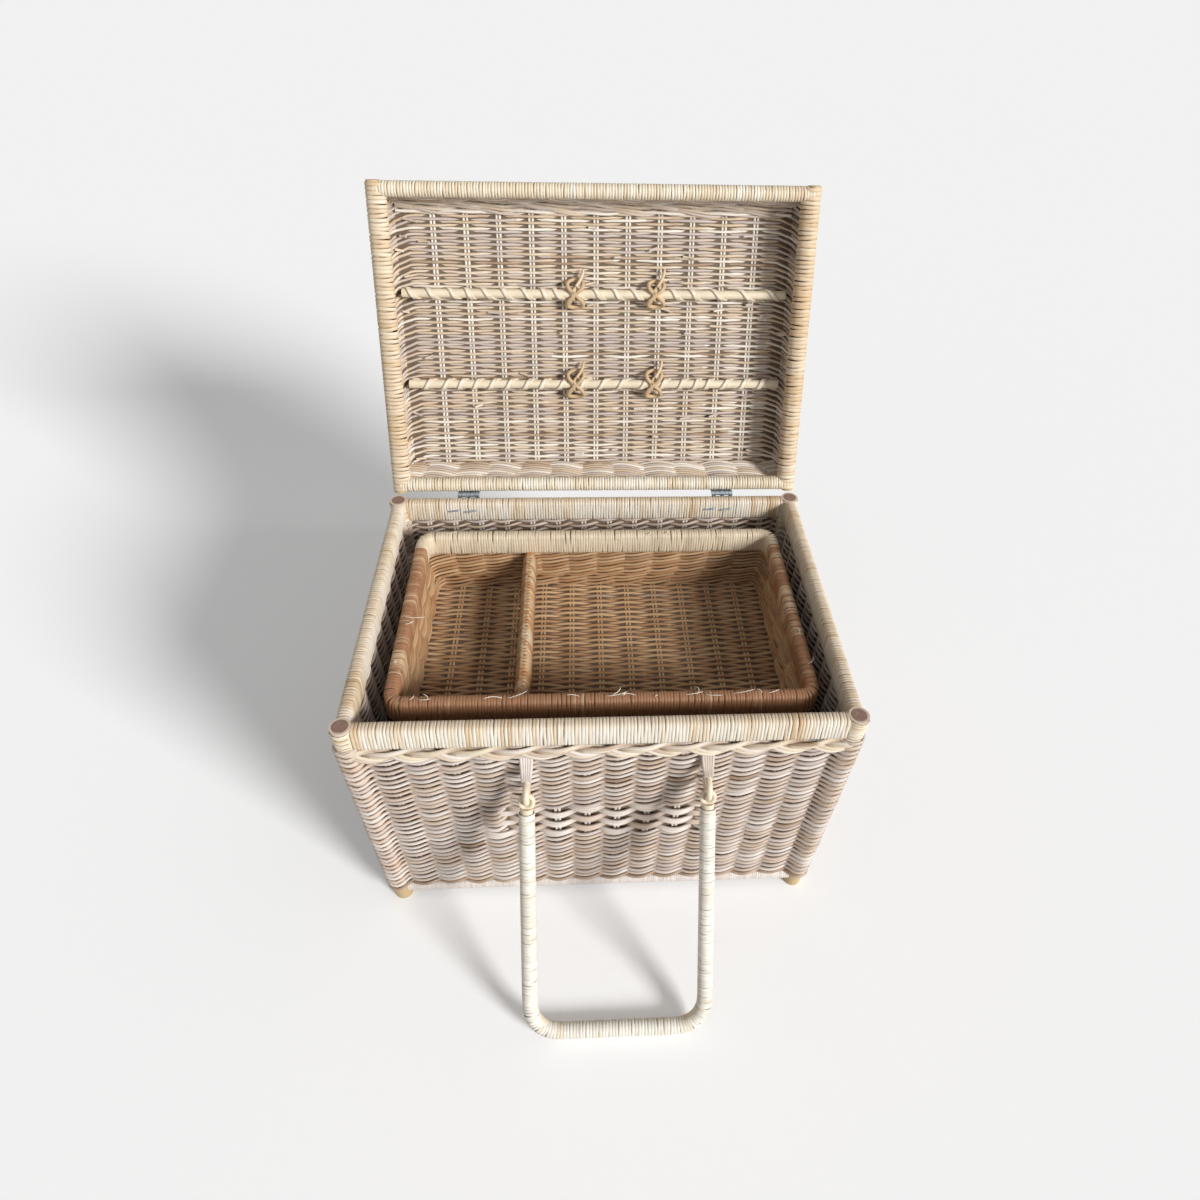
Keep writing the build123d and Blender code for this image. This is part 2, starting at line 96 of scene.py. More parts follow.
class BasketColours(bpy.types.PropertyGroup):
    """Colours of the rods, strips and fittings."""
    weave_pale: colour("Weave, pale", (0.76, 0.69, 0.63), "Weathered rods of the walls where they are worn pale")
    weave_tan: colour("Weave, tan", (0.60, 0.48, 0.38), "Rods of the walls with a warm tan skin")
    weave_grey: colour("Weave, grey", (0.55, 0.48, 0.45), "Rods of the walls gone lilac grey")
    weave_brown: colour("Weave, brown", (0.36, 0.25, 0.17), "Rods of the walls that kept their brown skin")
    lid_pale: colour("Lid, pale", (0.86, 0.80, 0.71), "Pale rods of the lid")
    lid_tan: colour("Lid, tan", (0.66, 0.52, 0.37), "Tan rods of the lid")
    tray_pale: colour("Tray, pale", (0.52, 0.34, 0.18), "Pale rods of the tray")
    tray_tan: colour("Tray, tan", (0.34, 0.17, 0.07), "Tan rods of the tray")
    stake: colour("Stakes", (0.80, 0.74, 0.64), "Peeled stakes that show between the rods")
    cane_white: colour("Cane, white", (0.82, 0.78, 0.68), "Palest wound cane")
    cane_straw: colour("Cane, straw", (0.72, 0.62, 0.46), "Straw-coloured wound cane")
    cane_orange: colour("Cane, orange", (0.58, 0.41, 0.24), "Wound cane that has gone orange")
    cane_red: colour("Cane, red", (0.33, 0.16, 0.08), "Reddish wound cane of the tray")
    pole: colour("Pole", (0.50, 0.37, 0.19), "Rattan poles of the frame")
    end_grain: colour("End grain", (0.26, 0.16, 0.12), "Cut ends of the poles")
    steel: colour("Steel", (0.32, 0.37, 0.42), "Dull plated steel of hinges and staples")
    floor: colour("Floor", (0.90, 0.90, 0.90), "Plain floor of the stage")


# Places taken from the frame

@functools.cache
def box_of(node):
    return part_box(node)


def low(node):
    return box_of(node)[0]


def high(node):
    return box_of(node)[1]


post_radius = 0.0095
rim_top, rim_low = high("rim_binding_front").z, low("rim_binding_front").z
rim_half = Vector((sum(box_of("rim_binding_right"), Vector()).x / 2,
                   sum(box_of("rim_binding_back"), Vector()).y / 2))
post_lean = high("post_front_right").x - low("post_front_right").x - 2 * post_radius
joints = {joint["name"]: joint for joint in frame["joints"]}
hinge_at = Vector(joints["lid_hinge"]["pos_m"])
lid_open = math.radians(joints["lid_hinge"]["range_deg"][1])
lid_cos, lid_sin = math.cos(lid_open), math.sin(lid_open)
upward = Vector((0, 0, 1))
rail_sides = (("front", 0), ("back", 0), ("left", 1), ("right", 1))


def lid_point(x, along, deep):
    """A point of the open lid, along it from the hinge and deep into it from the rim's plane."""
    y, z = -along * lid_cos + deep * lid_sin, along * lid_sin + deep * lid_cos
    return hinge_at + Vector((x - hinge_at.x, y, z))


def lid_place(point):
    """The x of a point of the open lid, how far it is along the lid and how deep into it."""
    y, z = point.y - hinge_at.y, point.z - hinge_at.z
    return Vector((point.x, -y * lid_cos + z * lid_sin, y * lid_sin + z * lid_cos))


def lid_box(node):
    """Lowest and highest corner of a node of the lid, as x, along and deep."""
    corners = [lid_place(vertex.co) for vertex in frame["nodes"][node].data.vertices]
    return Vector(map(min, zip(*corners))), Vector(map(max, zip(*corners)))


def corners_of(down, up, inset=0.0):
    """The corners of a box seen from above, anticlockwise and drawn in by inset."""
    left, right, near, far = down.x + inset, up.x - inset, down.y + inset, up.y - inset
    return [(left, near), (right, near), (right, far), (left, far)]


def middle_line(down, up, axis):
    """The two ends of the middle line of a box along an axis."""
    start = (down + up) / 2
    end = start.copy()
    start[axis], end[axis] = down[axis], up[axis]
    return start, end


# Nodes and finishes

class Bench:
    """Adds nodes to one tree; a value that is a socket is joined, any other is set."""

    def __init__(self, tree):
        self.tree = tree

    def fill(self, node, inputs):
        for key, value in inputs.items():
            if isinstance(value, bpy.types.NodeSocket):
                self.tree.links.new(value, node.inputs[key])
            else:
                node.inputs[key].default_value = value
        return node

    def add(self, kind, inputs=None, **settings):
        node = self.tree.nodes.new(kind)
        for key, value in settings.items():
            setattr(node, key, value)
        return self.fill(node, inputs or {})

    def attribute(self, name):
        return self.add("ShaderNodeAttribute", attribute_name=name).outputs["Fac"]

    def place(self):
        return self.add("ShaderNodeTexCoord").outputs["Object"]

    def calc(self, operation, first, second):
        return self.add("ShaderNodeMath", {0: first, 1: second}, operation=operation).outputs[0]

    def times(self, first, second):
        return self.calc("MULTIPLY", first, second)

    def blend(self, factor, first, second, mode="MIX"):
        return self.add("ShaderNodeMix", {0: factor, 6: first, 7: second}, data_type="RGBA",
                        blend_type=mode).outputs[2]

    def spread(self, value, from_low, from_high, to_low, to_high):
        inputs = dict(enumerate((value, from_low, from_high, to_low, to_high)))
        return self.add("ShaderNodeMapRange", inputs).outputs[0]

    def noise(self, place, scale, detail=2.0):
        return self.add("ShaderNodeTexNoise", {"Vector": place, "Scale": scale, "Detail": detail}).outputs["Fac"]

    def bump(self, height, strength):
        inputs = {"Strength": strength, "Distance": 0.0004, "Height": height}
        return self.add("ShaderNodeBump", inputs).outputs[0]

    def ramp(self, factor, colours):
        node = self.add("ShaderNodeValToRGB", {0: factor})
        stops = node.color_ramp.elements
        while len(stops) < len(colours):
            stops.new(0.5)
        for number, shade in enumerate(colours):
            stops[number].position = number / (len(colours) - 1)
            stops[number].color = (*shade, 1)
        return node.outputs[0]

    def shade_range(self, factor, shade, *factors):
        return self.ramp(factor, [scaled(shade, share) for share in factors])

    def seen(self):
        """1 on the rays that show the floor or the sky, 0 on those that only light the part."""
        path = self.add("ShaderNodeLightPath").outputs
        direct = self.calc("MAXIMUM", path["Is Camera Ray"], path["Is Glossy Ray"])
        return self.calc("MAXIMUM", direct, path["Is Transmission Ray"])


def new_finish(name):
    finish = bpy.data.materials.new(name)
    finish.use_nodes = True
    return finish, Bench(finish.node_tree), finish.node_tree.nodes["Principled BSDF"]


def scaled(shade, factor):
    return tuple(min(channel * factor, 1) for channel in shade[:3])


def strand_finish(name, shades, hollow_shade, blotch=0.5, crown=None, shade_end=0.5):
    """Finish of rods and wound strips: each has its own tint and streaks, with painted shade in its hollows and
    painted shade on its top side.
    """
    finish, bench, shader = new_finish(name)
    along, tint, around, proud = map(bench.attribute, ("along", "tint", "around", "proud"))

    def noise_on(detail, *scales):
        parts = dict(enumerate(bench.times(value, scale) for value, scale in zip((along, tint, around), scales)))
        return bench.noise(bench.add("ShaderNodeCombineXYZ", parts).outputs[0], 1.0, detail)

    patches, streaks = noise_on(3.0, 45.0, 71.0, 60.0), noise_on(2.0, 60.0, 193.0, 1400.0)
    factor = bench.calc("ADD", tint, bench.times(bench.calc("SUBTRACT", patches, 0.5), blotch))
    base = bench.ramp(factor, shades)
    # Painted shade on the top side of each turn of cane, in darker tones of the given colour.
    if crown:
        base = bench.blend(bench.times(bench.attribute("crown"), 0.45), base,
                           bench.shade_range(factor, crown, 1.25, 1, 0.8))
    streaky = bench.blend(bench.spread(streaks, 0.35, 0.7, 0.0, 0.35), base, (*scaled(shades[-1], 0.8), 1))
    # Painted shade: a rod is darkened towards the given shade colour where it lies deep behind stakes and other
    # rods, where shade falls.
    painted_shade = bench.blend(bench.spread(proud, -1.0, shade_end, 1.0, 0.0), (1, 1, 1, 1), (*hollow_shade, 1))
    bench.fill(shader, {"Base Color": bench.blend(1.0, streaky, painted_shade, "MULTIPLY"),
                        "Roughness": bench.spread(patches, 0.2, 0.8, 0.4, 0.65),
                        "Normal": bench.bump(streaks, 0.35), "Specular IOR Level": 0.4})
    return finish


def pole_finish(name, shade, knot, axis, above=None):
    """Finish of a rattan pole along one axis: long streaks and blotches; above holds a height and its shade."""
    finish, bench, shader = new_finish(name)
    place, stretch = bench.place(), [900.0, 900.0, 900.0]
    stretch[axis] = 25.0
    long_place = bench.add("ShaderNodeMapping", {"Vector": place, "Scale": stretch}).outputs[0]
    streaks, patches = bench.noise(long_place, 1.0, 3.0), bench.noise(place, 55.0, 3.0)
    base = bench.ramp(bench.times(bench.calc("ADD", streaks, patches), 0.5),
                      [scaled(knot, 0.8), *(scaled(shade, share) for share in (0.85, 1.1, 1.5))])
    if above:
        height, upper = above
        level = bench.add("ShaderNodeSeparateXYZ", {0: place}).outputs[2]
        base = bench.blend(bench.spread(level, height, height + 0.004, 0.0, 1.0), base, (*upper, 1))
    bench.fill(shader, {"Base Color": base, "Roughness": bench.spread(patches, 0.3, 0.7, 0.35, 0.6),
                        "Normal": bench.bump(streaks, 0.4)})
    return finish


def steel_finish(shade):
    """Dull plated steel with scratches and faint rust."""
    finish, bench, shader = new_finish("dull plated steel")
    place = bench.place()
    patches = bench.noise(place, 400.0, 4.0)
    rust = bench.spread(bench.noise(place, 160.0, 3.0), 0.58, 0.72, 0.0, 0.6)
    plate = bench.shade_range(patches, shade, 0.6, 1, 1.5)
    bench.fill(shader, {"Base Color": bench.blend(rust, plate, (0.20, 0.09, 0.04, 1)), "Metallic": 0.85,
                        "Roughness": bench.spread(patches, 0.3, 0.7, 0.3, 0.55)})
    return finish


def cut_end_finish(shade):
    """The pores of a pole's cut end."""
    finish, bench, shader = new_finish("cut pole end")
    place = bench.place()
    pores = bench.add("ShaderNodeTexVoronoi", {"Vector": place, "Scale": 900.0}).outputs["Distance"]
    grain = bench.calc("ADD", bench.times(pores, 0.6), bench.times(bench.noise(place, 260.0, 3.0), 0.6))
    bench.fill(shader, {"Base Color": bench.shade_range(grain, shade, 0.3, 0.8, 1.4), "Roughness": 0.8})
    return finish


def painted_shadow_finish(name, shade):
    """Painted shade: the dull dark of a weave's shadowed inside."""
    finish, bench, shader = new_finish(name)
    tone = bench.shade_range(bench.noise(bench.place(), 120.0), shade, 0.25, 0.6)
    bench.fill(shader, {"Base Color": tone, "Roughness": 0.9})
    return finish


# Geometry Nodes

def group_tree(name, sockets):
    tree = bpy.data.node_groups.new(name, "GeometryNodeTree")
    for label, kind in sockets.items():
        tree.interface.new_socket(label, in_out="INPUT", socket_type="NodeSocket" + kind)
    tree.interface.new_socket("Result", in_out="OUTPUT", socket_type="NodeSocketGeometry")
    bench = Bench(tree)
    return tree, bench, bench.add("NodeGroupInput").outputs


def finish_tree(bench, geometry, finish):
    """Smooth, realized and with its finish, as each tree ends."""
    smooth = bench.add("GeometryNodeSetShadeSmooth", {"Geometry": geometry})
    real = bench.add("GeometryNodeRealizeInstances", {"Geometry": smooth.outputs[0]})
    last = bench.add("GeometryNodeSetMaterial", {"Geometry": real.outputs[0], "Material": finish})
    bench.add("NodeGroupOutput", {0: last.outputs[0]})


def named(bench, name, kind="FLOAT"):
    return bench.add("GeometryNodeInputNamedAttribute", {"Name": name}, data_type=kind).outputs[0]


def stored(bench, geometry, name, value):
    return bench.add("GeometryNodeStoreNamedAttribute", {"Geometry": geometry, "Name": name, "Value": value},
                     data_type="FLOAT", domain="POINT").outputs[0]


@functools.cache
def rod_tree():
    """Turns routes made of edges into round rods, as thick as each point's radius says."""
    tree, bench, given = group_tree("round rods", {"Routes": "Geometry", "Sides": "Int", "Finish": "Material"})
    ring = bench.add("GeometryNodeCurvePrimitiveCircle", {"Resolution": given["Sides"], "Radius": 1.0})
    share = bench.add("GeometryNodeSplineParameter").outputs["Factor"]
    routes = bench.add("GeometryNodeMeshToCurve", {"Mesh": given["Routes"]})
    tubes = bench.add("GeometryNodeCurveToMesh", {
        "Curve": routes.outputs[0], "Profile Curve": stored(bench, ring.outputs["Curve"], "share", share),
        "Scale": named(bench, "radius"), "Fill Caps": True})
    # The painted shade of a hollow goes only on the side that faces the strand's way out; without a way it goes
    # all round.
    out_way = named(bench, "out_way", "FLOAT_VECTOR")
    normal = bench.add("GeometryNodeInputNormal").outputs[0]
    facing = bench.add("ShaderNodeVectorMath", {0: normal, 1: out_way}, operation="DOT_PRODUCT").outputs["Value"]
    known = bench.add("ShaderNodeVectorMath", {0: out_way}, operation="LENGTH").outputs["Value"]
    turned = bench.calc("MINIMUM", bench.calc("MAXIMUM", bench.times(facing, 4.0), -1.0), 1.0)
    seen = bench.calc("ADD", bench.calc("SUBTRACT", 1.0, known), bench.times(known, turned))
    sided = stored(bench, tubes.outputs[0], "proud", bench.times(named(bench, "proud"), seen))
    around = stored(bench, sided, "around", bench.times(named(bench, "share"), 0.01))
    finish_tree(bench, around, given["Finish"])
    return tree


@functools.cache
def turn_tree():
    """Lays one turn of cane on each point, turned and stretched as the point says."""
    sockets = {"Places": "Geometry", "Turn": "Object", "Finish": "Material"}
    tree, bench, given = group_tree("turns of cane", sockets)
    turn = bench.add("GeometryNodeObjectInfo", {"Object": given["Turn"]})
    facing = bench.add("FunctionNodeEulerToRotation", {"Euler": named(bench, "facing", "FLOAT_VECTOR")})
    laid = bench.add("GeometryNodeInstanceOnPoints", {
        "Points": given["Places"], "Instance": turn.outputs["Geometry"], "Rotation": facing.outputs[0],
        "Scale": named(bench, "stretch", "FLOAT_VECTOR")})
    finish_tree(bench, laid.outputs[0], given["Finish"])
    return tree


def add_object(name, data):
    item = bpy.data.objects.new(name, data)
    bpy.context.scene.collection.objects.link(item)
    return item


def new_mesh(name, points, edges=(), faces=(), **values):
    """A mesh with named values on its points: three numbers a point make it a vector."""
    mesh = bpy.data.meshes.new(name)
    mesh.from_pydata(points, edges, faces)
    for label, numbers in values.items():
        vector = len(numbers) > len(points)
        layer = mesh.attributes.new(label, "FLOAT_VECTOR" if vector else "FLOAT", "POINT")
        layer.data.foreach_set("vector" if vector else "value", numbers)
    return mesh


def grow(mesh, tree, values):
    """Runs a tree on a mesh and keeps the plain mesh that it makes."""
    name = mesh.name
    piece = add_object(name, mesh)
    modifier = piece.modifiers.new(tree.name, "NODES")
    modifier.node_group = tree
    for item in tree.interface.items_tree:
        if item.in_out == "INPUT" and item.name in values:
            modifier[item.identifier] = values[item.name]
    bpy.context.view_layer.update()
    grown = piece.evaluated_get(bpy.context.evaluated_depsgraph_get())
    plain = bpy.data.meshes.new_from_object(grown)
    piece.modifiers.clear()
    piece.data = plain
    plain.name = name
    return piece


def settle(piece, body, replaced):
    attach(piece, body)
    if replaced:
        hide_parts(*replaced)


class Strand:
    """The route of one rod with its radius and tint, how proud it stands, and the way that counts as out."""

    def __init__(self, points, radius, tint, proud=1.0, out=Vector()):
        self.points = points
        self.radius, self.tint, self.proud, self.out = (
            value if isinstance(value, list) else [value] * len(points) for value in (radius, tint, proud, out))

    def part(self, begin, end):
        lists = (self.points, self.radius, self.tint, self.proud, self.out)
        return Strand(*(values[begin:end] for values in lists))


def make_rods(name, strands, finish, body, replaced=(), sides=5):
    """One piece made of many round rods."""
    points, edges, along, out_way = [], [], [], []
    for strand in strands:
        last = len(strand.points) - 1
        edges += [(len(points) + n, len(points) + n + 1) for n in range(last)]
        along += accumulate(((b - a).length for a, b in zip(strand.points, strand.points[1:])), initial=0.0)
        points += strand.points
        for way in strand.out:
            out_way.extend(way)
    values = {label: [number for strand in strands for number in getattr(strand, label)]
              for label in ("radius", "tint", "proud")}
    mesh = new_mesh(name, points, edges, along=along, out_way=out_way, **values)
    settle(grow(mesh, rod_tree(), {"Sides": sides, "Finish": finish}), body, replaced)


def turn_shape(name, outline, width, thickness, edge_rise):
    """One closed turn of cane round an outline in its own X and Y, as wide as width along Z."""
    shoulder = max(0.5 + edge_rise / 2, 0.86)
    profile = [(-0.5, edge_rise), (-0.41, shoulder), (0.0, 1.0), (0.41, shoulder), (0.5, edge_rise)]
    verts, faces, along, proud, crown = [], [], [], [], []
    count, rows, run = len(outline), len(profile), 0.0
    for number, here in enumerate(outline):
        before, after = outline[number - 1], outline[(number + 1) % count]
        edge = Vector((after[0] - before[0], after[1] - before[1])).normalized()
        out_x, out_y = edge.y * thickness, -edge.x * thickness
        run += math.dist(before, here) if number else 0
        for step, rise in profile:
            verts.append((here[0] + out_x * rise, here[1] + out_y * rise, step * width))
            along.append(run)
            # Painted shade: the low edges of each turn are marked deep, so the grooves between turns are
            # darkened, and the top side is marked for a darker painted shade.
            proud.append(-1.0 if rise == edge_rise else 1.0)
            crown.append(max(-edge.x, 0.0))
    for number, row in product(range(count), range(rows)):
        here, there, above = number * rows, (number + 1) % count * rows, (row + 1) % rows
        faces.append((here + row, there + row, there + above, here + above))
    return add_object(name, new_mesh(name, verts, (), faces, along=along, around=[vert[2] for vert in verts],
                                     proud=proud, crown=crown))


def boxed_outline(wide, tall, rounding):
    """A rounded rectangle, anticlockwise, that starts at the middle of its bottom."""
    points = [(0, -tall / 2)]
    for sx, sy, start, extra in ((1, -1, 270, (wide / 2, 0)), (1, 1, 0, (0, tall / 2)),
                                 (-1, 1, 90, (-wide / 2, 0)), (-1, -1, 180, None)):
        for step in range(3):
            angle = math.radians(start + 45 * step)
            points.append((sx * (wide / 2 - rounding) + rounding * math.cos(angle),
                           sy * (tall / 2 - rounding) + rounding * math.sin(angle)))
        if extra:
            points.append(extra)
    return points


def round_outline(radius, widened=1.0, count=12):
    return [(widened * radius * math.sin(math.tau * n / count), -radius * math.cos(math.tau * n / count))
            for n in range(count)]


def wind(name, places, outline, width, finish, body, replaced, thickness=0.0014, tilt=0.018, mood_middle=0.35,
         edge_rise=0.6):
    """One piece made of turns of cane: places holds (point, tangent, up) for each turn."""
    dice, spare, mood = random.Random(name), 0.06, 0.0
    shape = turn_shape(name + "_turn", outline, width, thickness, edge_rise)
    facing, stretch, tint = [], [], []
    for point, tangent, up in places:
        aim = mood_middle(point) if callable(mood_middle) else mood_middle
        tangent = tangent.normalized()
        side = up.cross(tangent).normalized()
        turned = Matrix((side, tangent.cross(side), tangent)).transposed()
        lean = Matrix.Rotation(dice.gauss(0, tilt), 3, "X") @ Matrix.Rotation(dice.gauss(0, tilt), 3, "Y")
        facing += (turned @ lean).to_euler()
        stretch += (1, 1, 1.0 + dice.uniform(-spare, spare))
        mood += dice.gauss(0, 0.06) - mood * 0.15
        tint.append(min(max(aim + mood + dice.gauss(0, 0.12), 0), 1))
    mesh = new_mesh(name, [place[0] for place in places], facing=facing, stretch=stretch, tint=tint)
    piece = grow(mesh, turn_tree(), {"Turn": shape, "Finish": finish})
    bpy.data.objects.remove(shape)
    settle(piece, body, replaced)


def route_places(points, pitch, up):
    """Places for turns side by side along a run of points."""
    marks = list(accumulate(((b - a).length for a, b in zip(points, points[1:])), initial=0.0))
    count = max(round(marks[-1] / pitch), 1)
    places = []
    for turn in range(count):
        run = marks[-1] * (turn + 0.5) / count
        number = bisect_left(marks, run) - 1
        a, b = points[number], points[number + 1]
        places.append((a + (b - a) * ((run - marks[number]) / (marks[number + 1] - marks[number])), b - a, up))
    return places


def make_shade_sheets(name, sheets, body, shade):
    """Thin dark sheets in the middle of the weave: painted shade for its shadowed inside. A sheet is four
    corners in order.
    """
    work, half = bmesh.new(), 0.00025
    for a, b, c, d in sheets:
        normal = (b - a).cross(d - a).normalized() * half
        below, above = ([work.verts.new(corner + normal * way) for corner in (a, b, c, d)] for way in (-1, 1))
        work.faces.new(below[::-1])
        work.faces.new(above)
        for number in range(4):
            after = (number + 1) % 4
            work.faces.new((below[number], below[after], above[after], above[number]))
    mesh = bpy.data.meshes.new(name)
    work.to_mesh(mesh)
    work.free()
    mesh.materials.append(painted_shadow_finish(name + " shade", shade))
    settle(add_object(name, mesh), body, ())


# Weaving

class Route:
    """A flat run of points with its length and the side that counts as outward (right of its way)."""

    def __init__(self, points, closed=False):
        self.points = points + points[:1] if closed else points
        steps = (math.dist(a, b) for a, b in zip(self.points, self.points[1:]))
        self.marks = list(accumulate(steps, initial=0.0))
        self.length = self.marks[-1]

    def at(self, run):
        """The point at a run, and the way out from there."""
        run = min(max(run, 0.0), self.length)
        number = max(bisect_left(self.marks, run) - 1, 0)
        a, b = self.points[number], self.points[number + 1]
        span = self.marks[number + 1] - self.marks[number]
        share = (run - self.marks[number]) / span
        along = ((b[0] - a[0]) / span, (b[1] - a[1]) / span)
        return (a[0] + (b[0] - a[0]) * share, a[1] + (b[1] - a[1]) * share), (along[1], -along[0])


def rounded_route(corners, radius, closed=True, steps=4):
    """A route through corners with each bend rounded."""
    points, count = [], len(corners)
    for number, corner in enumerate(corners):
        corner = Vector(corner)
        if not closed and number in (0, count - 1):
            points.append(tuple(corner))
            continue
        before, after = Vector(corners[number - 1]), Vector(corners[(number + 1) % count])
        way_in, way_out = (corner - before).normalized(), (after - corner).normalized()
        reach = radius * math.tan(way_in.angle(way_out) / 2)
        start, end = corner - way_in * reach, corner + way_out * reach
        for step in range(steps + 1):
            share = step / steps
            points.append(tuple(start.lerp(corner, share).lerp(corner.lerp(end, share), share)))
    return Route(points, closed)


def eased(share):
    return share * share * (3 - 2 * share)


def stroke_tints(dice, count, spread=0.22, change=0.07, middle_tint=0.5):
    """A tint for each stroke of a long row: it holds while one rod lasts."""
    tints, mood = [], middle_tint + dice.gauss(0, spread)
    for _ in range(count):
        if dice.random() < change:
            mood = middle_tint + dice.gauss(0, spread)
        tints.append(min(max(mood, 0), 1))
    return tints


def woven_row(route, place, level, dice, spacing, swing, radius, parity, rise=0.0, wobble=0.0003):
    """One rod along a route, in front of and behind the stakes by turns. place(p, q, level) gives the point."""
    steps = bpy.context.scene.basket_sizes.steps_per_stake
    count = max(round(route.length / spacing), 1)
    lifts = [dice.gauss(0, wobble) for _ in range(count + 2)]
    tints = stroke_tints(dice, count + 2)
    points, proud, tint, radii, out = [], [], [], [], []
    for step in range(count * steps + 1):
        stake, share = divmod(step, steps)
        turn = math.pi * (step / steps + parity)
        (p, q), (out_p, out_q) = route.at(route.length * step / (count * steps))
        off = swing * math.cos(turn)
        lift = lifts[stake] + (lifts[stake + 1] - lifts[stake]) * eased(share / steps)
        points.append(place(p + out_p * off, q + out_q * off, level + lift + rise * math.sin(turn)))
        out.append((place(p + out_p * 0.001, q + out_q * 0.001, level) - place(p, q, level)).normalized())
        proud.append(math.cos(turn))
        tint.append(tints[int(step / steps + 0.5)])
        radii.append(radius * (1 + 0.05 * math.sin(turn * 1.7 + parity)))
    return Strand(points, radii, tint, proud, out)


def upright_stakes(route, place, low_level, high_level, spacing, radius, dice, gap=0.0036):
    """Pairs of stakes across the rows of a route."""
    count = max(round(route.length / spacing), 1)
    strands = []
    for stake, side in product(range(count + 1), (-0.5, 0.5)):
        (p, q), _ = route.at(route.length * stake / count + side * gap)
        points = [place(p, q, level) for level in (low_level, (low_level + high_level) / 2, high_level)]
        strands.append(Strand(points, radius, min(max(dice.gauss(0.4, 0.25), 0), 1)))
    return strands


def as_floor(p, q, r):
    return Vector((p, r, q))


def as_wall(p, q, r):
    return Vector((p, q, r))


def as_panel(p, q, r):
    return lid_point(p, r, q)


def lean_in(half, z):
    """Half the distance between the posts' middles at a height."""
    return half - post_lean * (rim_top - z) / rim_top


class Wall:
    """One wall of the basket between two posts; seen from outside it runs to the right."""
    stakes_out = 0.0015  # The stakes stand this far outside the line between the posts

    def __init__(self, name, along, half_long, half_out, first, spacing):
        self.name, self.along, self.first = name, Vector(along), first
        self.out = Vector((self.along.y, -self.along.x))
        self.half_long, self.half_out = half_long, half_out
        self.intervals = round(2 * half_long / spacing)

    def point(self, run, out, z, height=None):
        """A point out of the line between the posts at z; the point itself may be at another height."""
        flat = self.along * run + self.out * (lean_in(self.half_out, z) + out)
        return Vector((*flat, z if height is None else height))

    def stake_at(self, stake, z):
        return lean_in(self.half_long, z) * (2 * stake / self.intervals - 1)


def basket_walls(spacing):
    walls, first = [], 0
    for name, along in (("front", (1, 0)), ("right", (0, 1)), ("back", (-1, 0)), ("left", (0, -1))):
        half_long, half_out = rim_half if along[0] else rim_half.yx
        walls.append(Wall(name, along, half_long, half_out, first, spacing))
        first += walls[-1].intervals
    return walls


def paired_run(wall, z, phase, sizes, lifts, tints, radius):
    """One of the two rods of a row of pairing, from the middle of one corner to the next."""
    half_long, steps = lean_in(wall.half_long, z), sizes.steps_per_stake
    corner_swing, grip = post_radius + sizes.body_rod - wall.stakes_out, 0.020
    total = wall.intervals * steps
    points, proud, tint = [], [], []
    for step in range(total + 1):
        stake, share = wall.first + step // steps, eased((step % steps) / steps)
        turn = math.pi * (wall.first + step / steps) + phase
        run = half_long * (2 * step / total - 1)
        from_post = half_long - abs(run)
        near = eased(max(1 - from_post / grip, 0))
        out = wall.stakes_out + (sizes.body_swing + (corner_swing - sizes.body_swing) * near) * math.cos(turn)
        if 0 < from_post < -out:
            continue
        height = z + lifts[stake % len(lifts)] * (1 - share) + lifts[(stake + 1) % len(lifts)] * share
        height += sizes.body_rod * math.sin(turn)
        added = [wall.point(run, out, z, height)]
        if step in (0, total):
            way = -1 if step == 0 else 1
            if out > 0:
                added += [wall.point(run + way * out * math.sin(bend), out * math.cos(bend), z, height)
                          for bend in (math.pi / 8, math.pi / 4)]
            else:
                added = [wall.point(run + way * out, out, z, height)]
            if step == 0:
                added.reverse()
        points += added
        proud += [math.cos(turn)] * len(added)
        tint += [tints[int(wall.first + step / steps + 0.5) % len(tints)]] * len(added)
    return Strand(points, radius, tint, proud, Vector((*wall.out, 0)))


# The band of open weave in the front wall: its heights, and the stakes that it runs between
band_low, band_high, band_stakes, band_row = 0.114, 0.164, (4, 11), 0.0086


def band_sides(run, reach):
    """The parts of a row of the front wall to the left and to the right of the open band."""
    parts = []
    for left in (True, False):
        kept = [n for n, point in enumerate(run.points) if (point.x < reach[0] if left else point.x > reach[1])]
        if len(kept) > 1:
            part = run.part(kept[0], kept[-1] + 1)
            for number in range(3):
                end = -1 - number if left else number
                part.points[end] = part.points[end] + Vector((0, 0.0018 * (3 - number), 0))
            parts.append(part)
    return parts


def open_band(wall, sizes, dice):
    """Rows of two rods side by side, plainly woven, which leave gaps at every second pair of stakes."""
    strands, steps = [], sizes.steps_per_stake
    rows = round((band_high - band_low) / band_row)
    for row in range(rows):
        first, last = band_stakes[0] - (row < 2), band_stakes[1]
        z = band_low + (band_high - band_low) * (row + 0.5) / rows
        tint = min(max(dice.gauss(0.3, 0.2), 0), 0.9)
        for side in (-1, 1):
            points, proud = [], []
            for step in range((last - first) * steps + 1):
                stake = first + step / steps
                swing = math.cos(math.pi * (stake + row))
                tucked = max(1 - 2 * min(stake - first, last - stake), 0)
                out = wall.stakes_out + (sizes.body_swing + 0.0006) * swing - 0.005 * tucked
                height = z + side * sizes.body_rod * (0.75 + 0.2 * swing)
                points.append(wall.point(wall.stake_at(stake, z), out, z, height))
                proud.append(swing)
            strands.append(Strand(points, sizes.body_rod * 1.12, tint + dice.uniform(0, 0.1), proud,
                                  Vector((*wall.out, 0))))
    return strands


# Operators

